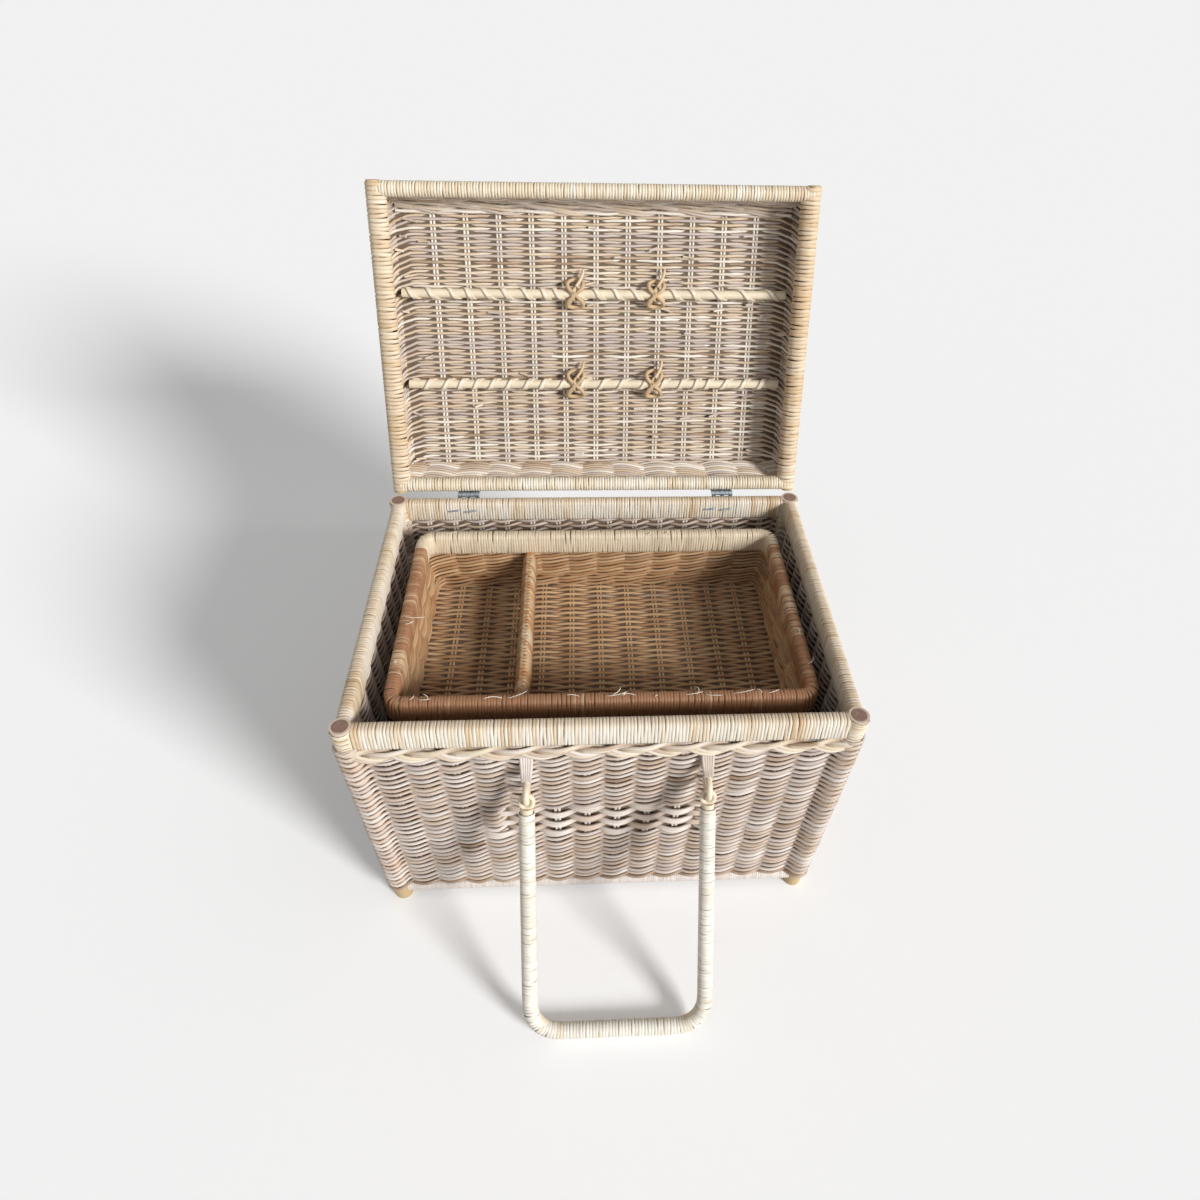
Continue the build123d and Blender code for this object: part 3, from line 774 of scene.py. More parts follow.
class BasketPiece:
    """What the operators of the panel share."""
    bl_options = {"REGISTER", "UNDO"}
    wall_shades = ("weave_pale", ("weave_pale", 0.85), "weave_tan", "weave_grey", "weave_tan", "weave_brown")

    @property
    def sizes(self):
        return bpy.context.scene.basket_sizes

    @property
    def colours(self):
        return bpy.context.scene.basket_colours

    def shades(self, *wanted):
        """The named colours; a pair of a name and a factor makes a colour darker or lighter."""
        pairs = [item if isinstance(item, tuple) else (item, 1) for item in wanted]
        return [scaled(getattr(self.colours, name), factor) for name, factor in pairs]


class BASKET_OT_body_weave(BasketPiece, bpy.types.Operator):
    """Weaves the four walls in pairing, round the posts, on pairs of stakes"""
    bl_idname = "basket.body_weave"
    bl_label = "Body weave"

    def execute(self, context):
        sizes, dice = self.sizes, random.Random(11)
        walls = basket_walls(sizes.stake_spacing)
        front, stakes = walls[0], sum(wall.intervals for wall in walls)
        bottom, top = low("wall_front").z, rim_low + 0.001
        rows, z = [], bottom + sizes.body_rod
        while z < top:
            rows.append(z)
            z += sizes.body_row * dice.uniform(0.94, 1.06)
        strands = {wall.name: [] for wall in walls}
        band_reach = [front.stake_at(stake, (band_low + band_high) / 2)
                      for stake in (band_stakes[0] + 0.45, band_stakes[1] - 0.45)]
        for z in rows:
            lifts = [dice.gauss(0, 0.0005) for _ in range(stakes)]
            for phase in (0.0, math.pi):
                radius = sizes.body_rod * dice.uniform(0.88, 1.1)
                tints = stroke_tints(dice, stakes, 0.24, 0.12, 0.4)
                if z == rows[0]:
                    tints = [0.95] * stakes
                for wall in walls:
                    run = paired_run(wall, z, phase, sizes, lifts, tints, radius)
                    banded = wall is front and band_low < z < band_high
                    strands[wall.name] += band_sides(run, band_reach) if banded else [run]
        strands["front"] += open_band(front, sizes, dice)
        # Painted shade darkens the wall rods where they pass behind the stakes.
        finish = strand_finish("weathered wall rods", self.shades(*self.wall_shades), (0.38, 0.27, 0.20))
        # A dark sheet in the middle of each wall is painted shade for the weave's shadowed inside.
        corners = ((bottom, -1), (bottom, 1), (top, 1), (top, -1))
        sheets = [[wall.point(lean_in(wall.half_long, z) * way, 0.001, z) for z, way in corners]
                  for wall in walls]
        make_shade_sheets("wall_weave_inside", sheets, "basket", self.colours.weave_brown)
        for wall in walls:
            for stake, side in product(range(1, wall.intervals), (-0.0018, 0.0018)):
                points = [wall.point(wall.stake_at(stake, z) + side, wall.stakes_out, z)
                          for z in (bottom, (bottom + top) / 2, top)]
                strands[wall.name].append(Strand(points, 0.0018, dice.uniform(0, 0.2)))
            make_rods("weave_" + wall.name, strands[wall.name], finish, "basket", ("wall_" + wall.name,),
                      sides=6)
        return {"FINISHED"}


class BASKET_OT_floor_weave(BasketPiece, bpy.types.Operator):
    """Weaves the basket's floor"""
    bl_idname = "basket.floor_weave"
    bl_label = "Floor weave"

    def execute(self, context):
        sizes, dice = self.sizes, random.Random(12)
        swing, stake_rod = 0.0022, 0.0014
        down, up = box_of("bottom_panel")
        level = (down.z + up.z) / 2
        route = Route([(down.x, level), (up.x, level)])
        count = round((up.y - down.y) / sizes.floor_row)
        strands = [woven_row(route, as_floor, down.y + (n + 0.5) * (up.y - down.y) / count, dice,
                             sizes.stake_spacing, swing, sizes.floor_row * 0.42, n % 2) for n in range(count)]
        strands += upright_stakes(route, as_floor, down.y, up.y, sizes.stake_spacing, stake_rod, dice)
        finish = strand_finish("floor rods", self.shades("tray_pale", "weave_tan", "tray_tan"), (0.4, 0.28, 0.2))
        make_rods("weave_floor", strands, finish, "basket", ("bottom_panel",))
        return {"FINISHED"}


class BASKET_OT_border(BasketPiece, bpy.types.Operator):
    """Plaits the border under the rim"""
    bl_idname = "basket.border"
    bl_label = "Plaited border"

    def execute(self, context):
        down, up = box_of("border_rope")
        thick, level = (up.z - down.z) / 2, (down.z + up.z) / 2
        bend, repeat, spacing, second_shift = 0.012, 0.112, 0.0055, 0.00312
        swing_out, swing_up, rod = 0.0030, 0.0048, 0.0019
        route = rounded_route(corners_of(down, up, thick), bend)
        dice, strands = random.Random(13), []
        period = route.length / round(route.length / repeat)
        count, stroke = round(route.length / spacing), 8
        for group, second in product(range(3), (0, 1)):
            points, proud = [], []
            for step in range(count + 1):
                run = route.length * step / count
                turn = math.tau * ((run + second * second_shift) / period + group / 3)
                (p, q), (out_p, out_q) = route.at(run)
                out = 0.0005 + swing_out * math.sin(2 * turn) + second * 0.0004
                height = level + swing_up * math.sin(turn) - (second - 0.5) * 0.0026
                points.append(Vector((p + out_p * out, q + out_q * out, height)))
                proud.append(math.sin(2 * turn) * 0.7 + 0.3)
            tints = stroke_tints(dice, count // stroke + 2, 0.22, 0.15, 0.35)
            strands.append(Strand(points, rod, [tints[n // stroke] for n in range(count + 1)], proud))
        shades = self.shades("weave_pale", "cane_straw", "weave_tan", "weave_brown")
        finish = strand_finish("border rods", shades, (0.40, 0.28, 0.20))
        make_rods("plaited_border", strands, finish, "basket", ("border_rope",), sides=6)
        return {"FINISHED"}


class BASKET_OT_rim_cane(BasketPiece, bpy.types.Operator):
    """Winds cane on the four rim rails"""
    bl_idname = "basket.rim_cane"
    bl_label = "Rim cane"

    def execute(self, context):
        white, width = ("cane_white", 0.93), self.sizes.cane_width
        shades = self.shades(white, white, "cane_straw", "cane_orange", "cane_red")
        # The rim cane gets painted shade in the grooves between turns and a darker orange painted shade on its
        # top side.
        finish = strand_finish("rim cane", shades, (0.66, 0.55, 0.43), blotch=0.35, shade_end=-0.1,
                               crown=tuple(self.colours.cane_orange))
        for side, axis in rail_sides:
            node = "rim_binding_" + side
            core = high("rim_rail_" + side) - low("rim_rail_" + side)
            wind("wound_" + node, route_places(middle_line(*box_of(node), axis), width, upward),
                 boxed_outline(core[1 - axis], core.z, 0.0035), width, finish, "basket", (node,))
        return {"FINISHED"}


class BASKET_OT_post_ends(BasketPiece, bpy.types.Operator):
    """Winds the tops of the four posts and gives them their cut ends"""
    bl_idname = "basket.post_ends"
    bl_label = "Post tops"

    def execute(self, context):
        finish = strand_finish("post cane", self.shades("cane_white", "cane_straw", "cane_orange"),
                               (0.40, 0.28, 0.18), blotch=0.35)
        wound, places, verts, faces, ring = 0.034, [], [], [], 20
        rings = ((0.25, -0.0001), (0.5, 0.0), (0.74, 0.0), (0.8, -0.0001), (0.82, -0.0012))
        for sx, sy in product((-1, 1), (-1, 1)):
            top = Vector((sx * rim_half.x, sy * rim_half.y, high("post_front_left").z + 0.0002))
            foot = Vector((sx * (rim_half.x - post_lean), sy * (rim_half.y - post_lean), 0))
            way = (top - foot).normalized()
            places += route_places([top - way * wound, top - way * 0.002], self.sizes.cane_width,
                                   Vector((0, 1, 0)))
            first = len(verts)
            verts.append(top - upward * 0.0001)
            for (share, rise), step in product(rings, range(ring)):
                angle, reach = math.tau * step / ring, (post_radius - 0.0002) * share
                verts.append(top + Vector((reach * math.cos(angle), reach * math.sin(angle), rise)))
            for step in range(ring):
                after = (step + 1) % ring
                faces.append((first, first + 1 + step, first + 1 + after))
                for here in range(first + 1, first + 1 + (len(rings) - 1) * ring, ring):
                    faces.append((here + step, here + ring + step, here + ring + after, here + after))
        mesh = new_mesh("post_cut_ends", verts, (), faces)
        mesh.materials.append(cut_end_finish(self.colours.end_grain))
        settle(add_object("post_cut_ends", mesh), "basket", ())
        wind("wound_post_tops", places, round_outline(post_radius), self.sizes.cane_width, finish, "basket", (),
             thickness=0.0011, tilt=0.03)
        return {"FINISHED"}


class BASKET_OT_foot_cane(BasketPiece, bpy.types.Operator):
    """Winds fine pale strip on the foot rails"""
    bl_idname = "basket.foot_cane"
    bl_label = "Foot cane"

    def execute(self, context):
        shades = self.shades("weave_pale", ("weave_pale", 0.8), "weave_grey")
        width, inset = self.sizes.foot_cane, 0.002
        finish = strand_finish("foot strip", shades, (0.45, 0.38, 0.30))
        for side, axis in rail_sides:
            node = "foot_rail_" + side
            size = high(node) - low(node)
            wind("wound_" + node, route_places(middle_line(*box_of(node), axis), width, upward),
                 boxed_outline(size[1 - axis] - inset, size.z - inset, 0.002), width * 1.15, finish, "basket",
                 (node,), thickness=0.001)
        return {"FINISHED"}


class BASKET_OT_lid_weave(BasketPiece, bpy.types.Operator):
    """Weaves the lid's panel, whose rods bend over its side walls, and its front and back walls"""
    bl_idname = "basket.lid_weave"
    bl_label = "Lid weave"

    def execute(self, context):
        sizes, dice = self.sizes, random.Random(14)
        spacing = sizes.lid_stake_spacing
        (_, near, panel_low), (panel_x, far, panel_high) = lid_box("lid_panel")
        wall_low, wall_high = lid_box("lid_wall_right")
        front_end = lid_box("lid_wall_front")[1].y
        deep, shallow = (panel_low + panel_high) / 2, wall_low.z
        foot_x, top_x = wall_high.x - 0.0035, panel_x - 0.002
        cut_x, corner_rows = top_x - 0.002, 6
        panel_swing, wall_swing, edge_row, stake_rod = 0.0016, 0.0026, 0.0036, 0.00155
        route = rounded_route([(foot_x, shallow), (top_x, deep), (-top_x, deep), (-foot_x, shallow)], 0.006,
                              closed=False)
        count = round((far - near) / sizes.lid_row)
        parts = {"panel": [], "left": [], "right": []}

        def in_corner(point):
            _, along, depth = lid_place(point)
            return along < far + (front_end - far) * (deep - depth) / (deep - shallow) - 0.002

        for number in range(count + corner_rows):
            slant = {-1: -0.36 + dice.gauss(0, 0.07), 1: -0.34 + dice.gauss(0, 0.06)}

            def place(p, q, r):
                past = max(abs(p) - top_x + 0.016, 0) + max(deep - abs(q), 0) * 0.8
                return lid_point(p, r + past * slant[1 if p > 0 else -1], q)

            row = near + (number + 0.5) * (far - near) / count
            strand = woven_row(route, place, row, dice, spacing, panel_swing,
                               sizes.lid_rod * dice.uniform(0.93, 1.08), number % 2, wobble=0.0004)
            if number >= count:  # Short rods fill the corner that the slant leaves open
                for part, way in (("right", 1), ("left", -1)):
                    kept = [n for n, point in enumerate(strand.points)
                            if point.x * way > cut_x and in_corner(point)]
                    if len(kept) > 2:
                        parts[part].append(strand.part(kept[0], kept[-1] + 1))
                continue
            kept = [n for n, point in enumerate(strand.points) if abs(point.x) <= cut_x]
            for part, begin, end in (("right", 0, kept[0] + 1), ("panel", kept[0], kept[-1] + 1),
                                     ("left", kept[-1], len(strand.points))):
                parts[part].append(strand.part(begin, end))

        shades = self.shades("lid_pale", "lid_pale", "lid_tan", "weave_grey", "lid_tan", "weave_brown")
        # Dark painted shade where the lid's rods pass behind the stakes.
        finish = strand_finish("lid rods", shades, (0.16, 0.10, 0.07), shade_end=-0.75)
        pale = strand_finish("lid stakes", self.shades("stake", ("stake", 0.8)), (0.6, 0.5, 0.4))
        stakes = [stake for stake in upright_stakes(route, as_panel, near, far, spacing, stake_rod, dice)
                  if abs(stake.points[0].x) < top_x - 0.014]
        make_rods("lid_stakes", stakes, pale, "lid")
        edge = Route([(-top_x + 0.004, 0), (top_x - 0.004, 0)])

        def wavy(p, q, r):
            wave = 0.0012 * math.sin(math.pi * p / spacing + r * 300)
            return lid_point(p, r + wave, deep - 0.0016 - q)

        for number, phase in product(range(5), (0, 1)):
            row = far - 0.002 - number * edge_row
            parts["panel"].append(woven_row(edge, wavy, row, dice, spacing, panel_swing, sizes.lid_rod * 1.1,
                                            phase, rise=0.0016, wobble=0.0005))
        # A dark sheet in the middle of the lid is painted shade for the weave's shadowed inside.
        sheets = [[as_panel(*a, near), as_panel(*b, near), as_panel(*b, far), as_panel(*a, far)]
                  for a, b in zip(route.points, route.points[1:])]
        make_shade_sheets("lid_weave_inside", sheets, "lid", self.colours.weave_brown)
        for part, node in (("panel", "lid_panel"), ("left", "lid_wall_left"), ("right", "lid_wall_right")):
            make_rods("weave_lid_" + part, parts[part], finish, "lid", (node,))
        make_rods("lid_loose_ends", self.loose_ends(dice, top_x, near + 0.01, far - 0.015, deep), finish, "lid")

        def across(p, q, r):
            return lid_point(p, q + 0.0011 * math.sin(math.pi * p / spacing), r)

        for side, sign in (("front", 1), ("back", -1)):
            node, strands = "lid_wall_" + side, []
            down, up = lid_box(node)
            shallow_y, deep_y = (up.y, down.y) if sign > 0 else (down.y, up.y)
            rows = round((up.z - down.z) / edge_row)
            for share in [row / rows for row in range(rows + 1)]:
                along = shallow_y + (deep_y - shallow_y) * share - sign * 0.0035 * (1 - 2 * share)
                half = foot_x - (foot_x - top_x) * share
                for phase in (0, 1):
                    strands.append(woven_row(Route([(-half, along), (half, along)]), across,
                                             down.z + (up.z - down.z) * share, dice, spacing, wall_swing,
                                             sizes.lid_rod * 1.1, phase, rise=0.0016))
            make_rods("weave_lid_" + side, strands, finish, "lid", (node,))
        return {"FINISHED"}

    def loose_ends(self, dice, half, first, last, deep):
        """Rod ends that have sprung out of the panel's weave."""
        loose, count = [], 46
        for _ in range(count):
            x = dice.choice((-1, 1)) * half * (1 - dice.random() ** 1.7)
            along = dice.uniform(first, last)
            reach, way = dice.uniform(0.007, 0.017), dice.choice((-1, 1))
            rise = dice.uniform(-0.35, 0.35)
            points = [lid_point(x + way * reach * share, along + rise * reach * share,
                                deep - 0.0024 - 0.0032 * share ** 1.6) for share in (0, 0.25, 0.5, 0.75, 1)]
            loose.append(Strand(points, [0.0016, 0.0016, 0.0015, 0.0015, 0.0012], dice.uniform(0.2, 0.8)))
        return loose


class BASKET_OT_lid_cane(BasketPiece, bpy.types.Operator):
    """Winds cane on the lid's four poles"""
    bl_idname = "basket.lid_cane"
    bl_label = "Lid cane"

    def execute(self, context):
        shades = self.shades("cane_white", "cane_straw", "lid_tan", "cane_orange")
        finishes = (strand_finish("lid cane", shades, (0.46, 0.34, 0.24), blotch=0.35, shade_end=-0.1),
                    strand_finish("side pole cane", shades, (0.26, 0.15, 0.08), blotch=0.4))
        widths, widened = (self.sizes.cane_width, self.sizes.side_cane), (1.0, 1.36)
        looks = ({"edge_rise": 0.5, "tilt": 0.025, "mood_middle": 0.25},
                 {"edge_rise": 0.2, "tilt": 0.05, "mood_middle": 0.6})
        normal = lid_point(0, 0, 1) - lid_point(0, 0, 0)
        for side, axis in rail_sides:
            node = "lid_binding_" + side
            core_down, core_up = lid_box("lid_pole_" + side)
            start, end = middle_line(*lid_box(node), axis)
            if axis:
                start.x = end.x = start.x - math.copysign(0.0025, start.x)
            outline = round_outline((core_up.z - core_down.z) / 2, widened[axis])
            wind("wound_" + node, route_places([lid_point(*start), lid_point(*end)], widths[axis], normal),
                 outline, widths[axis], finishes[axis], "lid", (node,), **looks[axis])
        return {"FINISHED"}


class BASKET_OT_lid_rods(BasketPiece, bpy.types.Operator):
    """Wraps the two lid rods in an open spiral of cane and ties them to the panel"""
    bl_idname = "basket.lid_rods"
    bl_label = "Lid rods and ties"

    def execute(self, context):
        dice, spirals, ties = random.Random(15), [], []
        ties_low, ties_high = lid_box("lid_ties")
        for node, way in (("lid_rod_lower", 1), ("lid_rod_upper", -1)):
            down, up = lid_box(node)
            start, end = middle_line(down, up, 0)
            radius = (up.z - down.z) / 2
            spirals += self.spiral(dice, start, end.x, radius + 0.0008, way)
            for x in (ties_low.x + 0.0083, ties_high.x - 0.0083):
                ties += self.knot(dice, x, start, radius)
        finish = strand_finish("rod cane", self.shades("cane_white", "cane_straw", "lid_tan"), (0.5, 0.38, 0.28),
                               blotch=0.2)
        knots = strand_finish("knot cane", self.shades("cane_straw", "cane_orange", ("cane_orange", 0.75)),
                              (0.5, 0.36, 0.25))
        make_rods("rod_spirals", spirals, finish, "lid", sides=6)
        make_rods("lid_knots", ties, knots, "lid", ("lid_ties",), sides=8)
        return {"FINISHED"}

    def spiral(self, dice, start, end_x, reach, way):
        """A flat strip of five strands side by side, wound round a rod with uneven pitch."""
        x, turn, pitch, steps, points = start.x + 0.004, 0.0, 0.020, 14, []
        while x < end_x - 0.006:
            points.append(lid_point(x, start.y + reach * math.cos(turn), start.z + reach * math.sin(turn)))
            turn += way * math.tau / steps
            x += pitch / steps
            pitch = min(max(pitch + (0.022 - pitch) * 0.04 + dice.gauss(0, 0.0014), 0.010), 0.034)
        return [Strand([point + Vector((shift * 0.00105, 0, 0)) for point in points], 0.0011,
                       0.75 if shift in (0, 4) else 0.05) for shift in range(5)]

    def knot(self, dice, x, start, radius):
        """A figure-eight of cane over a rod with two tails and a band round the rod."""
        wide, tall = 0.0088 * dice.uniform(0.9, 1.1), 0.0155 * dice.uniform(0.92, 1.08)
        near, far = start.z - radius - 0.002, start.z + 0.0035
        loop = []
        for turn in [math.tau * step / 32 for step in range(33)]:
            lift = 0.0012 * math.cos(2 * turn + 0.6)
            loop.append(lid_point(x + wide * math.sin(2 * turn), start.y + tall * math.cos(turn),
                                  near + (far - near) * abs(math.cos(turn)) ** 3 - lift))
        ties = [Strand(loop, 0.0024, dice.uniform(0.4, 0.9))]
        for lean, begin in ((1, 0.010), (-1, -0.004)):
            reach = dice.uniform(0.016, 0.021)
            tail = [lid_point(x + lean * (0.001 + 0.008 * share) + 0.002 * math.sin(3 * share),
                              start.y + begin * lean + lean * reach * share,
                              near - 0.0015 + (far - near) * share)
                    for share in [step / 6 for step in range(7)]]
            ties.append(Strand(tail, [0.0018] * 6 + [0.0009], dice.uniform(0.1, 0.6)))
        band = [lid_point(x + 0.003 * math.sin(turn), start.y + (radius + 0.0018) * math.cos(turn),
                          start.z + (radius + 0.0018) * math.sin(turn))
                for turn in [math.tau * step / 14 for step in range(15)]]
        return ties + [Strand(band, 0.0017, dice.uniform(0.3, 0.7))]


class BASKET_OT_tray_weave(BasketPiece, bpy.types.Operator):
    """Weaves the tray's floor, walls and divider"""
    bl_idname = "basket.tray_weave"
    bl_label = "Tray weave"

    def execute(self, context):
        sizes, dice = self.sizes, random.Random(16)
        spacing, rod = sizes.tray_stake_spacing, sizes.tray_rod
        base_swing, wall_swing, stake_rod, margin = 0.0018, 0.0022, 0.0015, 0.002
        # Dark painted shade where the tray's rods lie deep in the weave.
        finish = strand_finish("tray rods", self.shades("tray_pale", "tray_tan", "tray_pale", "tray_tan",
                                                        "weave_brown"), (0.20, 0.12, 0.07), shade_end=-0.6)
        pale = strand_finish("tray stakes", self.shades(("tray_pale", 1.1), "tray_pale"), (0.6, 0.5, 0.4))
        down, up = box_of("tray_base")
        level, wide = (down.z + up.z) / 2, up.y - down.y
        route = Route([(down.x + margin, level), (up.x - margin, level)])
        count = round(wide / sizes.tray_row)
        rows = [woven_row(route, as_floor, down.y + margin + n * (wide - 0.004) / (count - 1), dice, spacing,
                          base_swing, rod * dice.uniform(0.9, 1.06), n % 2, wobble=0.0005) for n in range(count)]
        # A dark sheet in the middle of the tray's floor is painted shade for the weave's shadowed inside.
        sheet = [Vector((*corner, level)) for corner in corners_of(down, up, 0.003)]
        make_shade_sheets("tray_weave_inside", [sheet], "tray", self.colours.weave_brown)
        make_rods("weave_tray_base", rows, finish, "tray", ("tray_base",))
        stakes = upright_stakes(route, as_floor, down.y + 0.003, up.y - 0.003, spacing, stake_rod, dice)

        wall_low, wall_high = low("tray_wall_front").z, high("tray_wall_front").z
        count, walls = round((wall_high - wall_low) / sizes.tray_row), []
        for row in range(count + 1):
            inset = 0.007 + 0.010 * (1 - row / count)
            loop = rounded_route(corners_of(*box_of("tray_binding"), inset), max(0.022 - inset * 0.5, 0.008))
            evened = loop.length / (2 * round(loop.length / spacing / 2))
            walls += [woven_row(loop, as_wall, wall_low + (wall_high - wall_low) * row / count, dice, evened,
                                wall_swing, rod, phase, rise=sizes.tray_row * 0.46) for phase in (0, 1)]
        make_rods("weave_tray_walls", walls, finish, "tray",
                  ("tray_wall_front", "tray_wall_back", "tray_wall_left", "tray_wall_right"))

        down, up = box_of("tray_divider")
        x, top = (down.x + up.x) / 2, low("tray_divider_edge").z
        line = Route([(x, down.y), (x, up.y)])
        count = round((top - down.z) / sizes.tray_row)
        rows = [woven_row(line, as_wall, down.z + (n + 0.5) * (top - down.z) / count, dice, spacing, wall_swing,
                          rod, n % 2) for n in range(count + 1)]
        rows += upright_stakes(line, as_wall, down.z, top + 0.002, spacing, stake_rod, dice)
        make_rods("weave_divider", rows, finish, "tray", ("tray_divider",))
        make_rods("tray_stakes", stakes, pale, "tray")
        shades = self.shades(("cane_straw", 0.8), ("cane_orange", 0.85), ("tray_tan", 1.3), "tray_tan")
        make_rods("plait_divider", self.plait(dice), strand_finish("divider plait", shades, (0.4, 0.28, 0.18)),
                  "tray", ("tray_divider_edge",), sides=7)
        return {"FINISHED"}

    def plait(self, dice):
        """Short strands that cross over the divider's top edge from both sides."""
        down, up = box_of("tray_divider_edge")
        mid, plait = (down + up) / 2, []
        count = round((up.y - down.y) / 0.0046)
        for number, (side, drop, back) in product(range(count + 2), ((-1, 0.009, 0.007), (1, 0.013, 0.009))):
            y = down.y + (up.y - down.y) * (number - 0.5) / count
            points = []
            for share in [step / 6 for step in range(7)]:
                angle = math.radians(-25 + 125 * share)
                points.append(Vector((mid.x + side * 0.0058 * math.sin(angle),
                                      min(max(y - back * share, down.y), up.y),
                                      mid.z + 0.0042 * math.cos(angle) - drop * share ** 3)))
            # How proud a strand is falls along it, so its painted shade darkens it as it goes down the divider's
            # side.
            plait.append(Strand(points, 0.0024, dice.uniform(0.1, 0.9), [1, 1, 0.8, 0.5, 0.2, -0.2, -0.6]))
        return plait


class BASKET_OT_tray_cane(BasketPiece, bpy.types.Operator):
    """Winds cane on the tray's hoop"""
    bl_idname = "basket.tray_cane"
    bl_label = "Tray cane"

    def execute(self, context):
        shades = self.shades("cane_straw", ("cane_straw", 0.85), "cane_orange", "cane_red", "cane_red")
        finish = strand_finish("hoop cane", shades, (0.44, 0.31, 0.22), blotch=0.3, shade_end=-0.1)
        down, up = box_of("tray_binding")
        core_down, core_up = box_of("tray_hoop")
        bound, width = 0.014, self.sizes.cane_width
        thick = bound - 2 * (core_down.x - down.x)
        loop = rounded_route(corners_of(down, up, bound / 2), 0.015, steps=8)
        points = [Vector((*point, (down.z + up.z) / 2)) for point in loop.points]

        def mood(point):
            return 1.05 if point.y < down.y + 0.04 else 0.05 if point.y > up.y - 0.03 else 0.72

        wind("wound_tray_hoop", route_places(points, width * 0.92, upward),
             boxed_outline(thick, core_up.z - core_down.z, 0.0035), width * 1.1, finish, "tray",
             ("tray_binding",), tilt=0.04, mood_middle=mood)
        return {"FINISHED"}


class BASKET_OT_loose_fibres(BasketPiece, bpy.types.Operator):
    """Adds the frayed fibres that stand off the tray's hoop"""
    bl_idname = "basket.loose_fibres"
    bl_label = "Loose fibres"

    def execute(self, context):
        dice, fibres, count, rod = random.Random(19), [], 26, 0.0004
        down, up = box_of("tray_binding")
        (left, near), _, (right, far), _ = corners_of(down, up, 0.007)
        for _ in range(count):
            x, y = dice.uniform(down.x + 0.02, up.x - 0.02), dice.choice((near, near, far))
            if dice.random() < 0.35:
                x, y = dice.choice((left, right)), dice.uniform(down.y + 0.02, up.y - 0.02)
            heading, reach = dice.uniform(0, math.tau), dice.uniform(0.008, 0.022)
            lift = dice.uniform(0.15, 0.55)
            points = []
            for share in [step / 5 for step in range(6)]:
                curl = heading + share * 0.7
                points.append(Vector((x + reach * share * math.cos(curl),
                                      y + 0.5 * reach * share * math.sin(curl),
                                      up.z - 0.0006 + reach * lift * share * (1 - 0.5 * share))))
            fibres.append(Strand(points, [rod] * 5 + [0.00015], 0.0))
        finish = strand_finish("loose fibre", self.shades("cane_white", "cane_straw"), (0.6, 0.5, 0.4))
        make_rods("loose_fibres", fibres, finish, "tray", sides=4)
        return {"FINISHED"}


class BASKET_OT_handle_cane(BasketPiece, bpy.types.Operator):
    """Winds cane on the two handles, and lays the straps of their ears"""
    bl_idname = "basket.handle_cane"
    bl_label = "Handle cane"

    def execute(self, context):
        shades = self.shades("cane_white", ("cane_white", 0.86), "cane_straw", "weave_grey")
        finish = strand_finish("handle cane", shades, (0.55, 0.48, 0.40), blotch=0.3, shade_end=-0.1)
        ear_finish = strand_finish("ear strip", self.shades(*self.wall_shades), (0.5, 0.4, 0.3), blotch=0.2)
        dice, straps = random.Random(18), []
        radius, start, bend, width = 0.0075, 0.0195, 0.032, self.sizes.handle_cane
        strap_line = ((0.0205, 0.030), (0.0165, 0.0235), (0.0130, 0.0180), (0.0095, 0.0148), (0.0060, 0.0130),
                      (0.0030, 0.0122))
        for side, way in (("front", -1), ("back", 1)):
            pivot = Vector(joints[f"handle_{side}_swing"]["pos_m"])
            node = f"handle_{side}_binding"
            down, up = box_of(node)
            bar = Vector((pivot.x, (down.y if way < 0 else up.y) - way * radius, down.z + radius))
            reach, drop = (bar - pivot).length, (bar - pivot).normalized()
            left, right = down.x + radius, up.x - radius
            flat = rounded_route([(left, start), (left, reach), (right, reach), (right, start)], bend,
                                 closed=False, steps=10)
            points = [Vector((p, pivot.y, pivot.z)) + drop * q for p, q in flat.points]
            wind(f"wound_handle_{side}", route_places(points, width, Vector((1, 0, 0)).cross(drop)),
                 round_outline(radius - 0.0012), width * 1.1, finish, f"handle_{side}", (node,),
                 thickness=0.0013, tilt=0.03, mood_middle=0.2)
            for x in (left, right):
                tint = dice.uniform(0.1, 0.4)
                for across in [(number - 2) * 0.0022 for number in range(5)]:
                    strap = [Vector((x + across * (1.15 - 0.5 * step / 5), pivot.y - way * out, pivot.z + rise))
                             for step, (out, rise) in enumerate(strap_line)]
                    straps.append(Strand(strap, 0.0018, tint))
        make_rods("ear_straps", straps, ear_finish, "basket", sides=6)
        return {"FINISHED"}


class BASKET_OT_frame_finish(BasketPiece, bpy.types.Operator):
    """Finishes the poles, ears, bearers, hinges and staples that come from the frame"""
    bl_idname = "basket.frame_finish"
    bl_label = "Poles and steel"

    def execute(self, context):
        pole, dark, straw = self.colours.pole, self.colours.end_grain, self.colours.cane_straw
        above = (low("wall_front").z, tuple(self.colours.weave_tan))
        dressed = (
            (pole_finish("upright pole", pole, dark, 2, above),
             "post_front_left post_front_right post_back_left post_back_right"),
            (pole_finish("lengthwise pole", pole, dark, 0),
             "rim_rail_front rim_rail_back lid_pole_front lid_pole_back"),
            (pole_finish("crosswise pole", pole, dark, 1),
             "rim_rail_left rim_rail_right lid_pole_left lid_pole_right tray_bearer_left tray_bearer_right "
             "tray_hoop"),
            (pole_finish("ear cane", straw, dark, 2), "handle_ears handle_front handle_back"),
            (pole_finish("lid rod", straw, self.colours.cane_orange, 0), "lid_rod_lower lid_rod_upper"),
            (steel_finish(self.colours.steel),
             "hinge_leaves_box hinge_leaves_lid hinge_pins staples_box staples_lid"),
        )
        for finish, nodes in dressed:
            for name in nodes.split():
                slots = frame["nodes"][name].data.materials
                slots.clear()
                slots.append(finish)
        return {"FINISHED"}


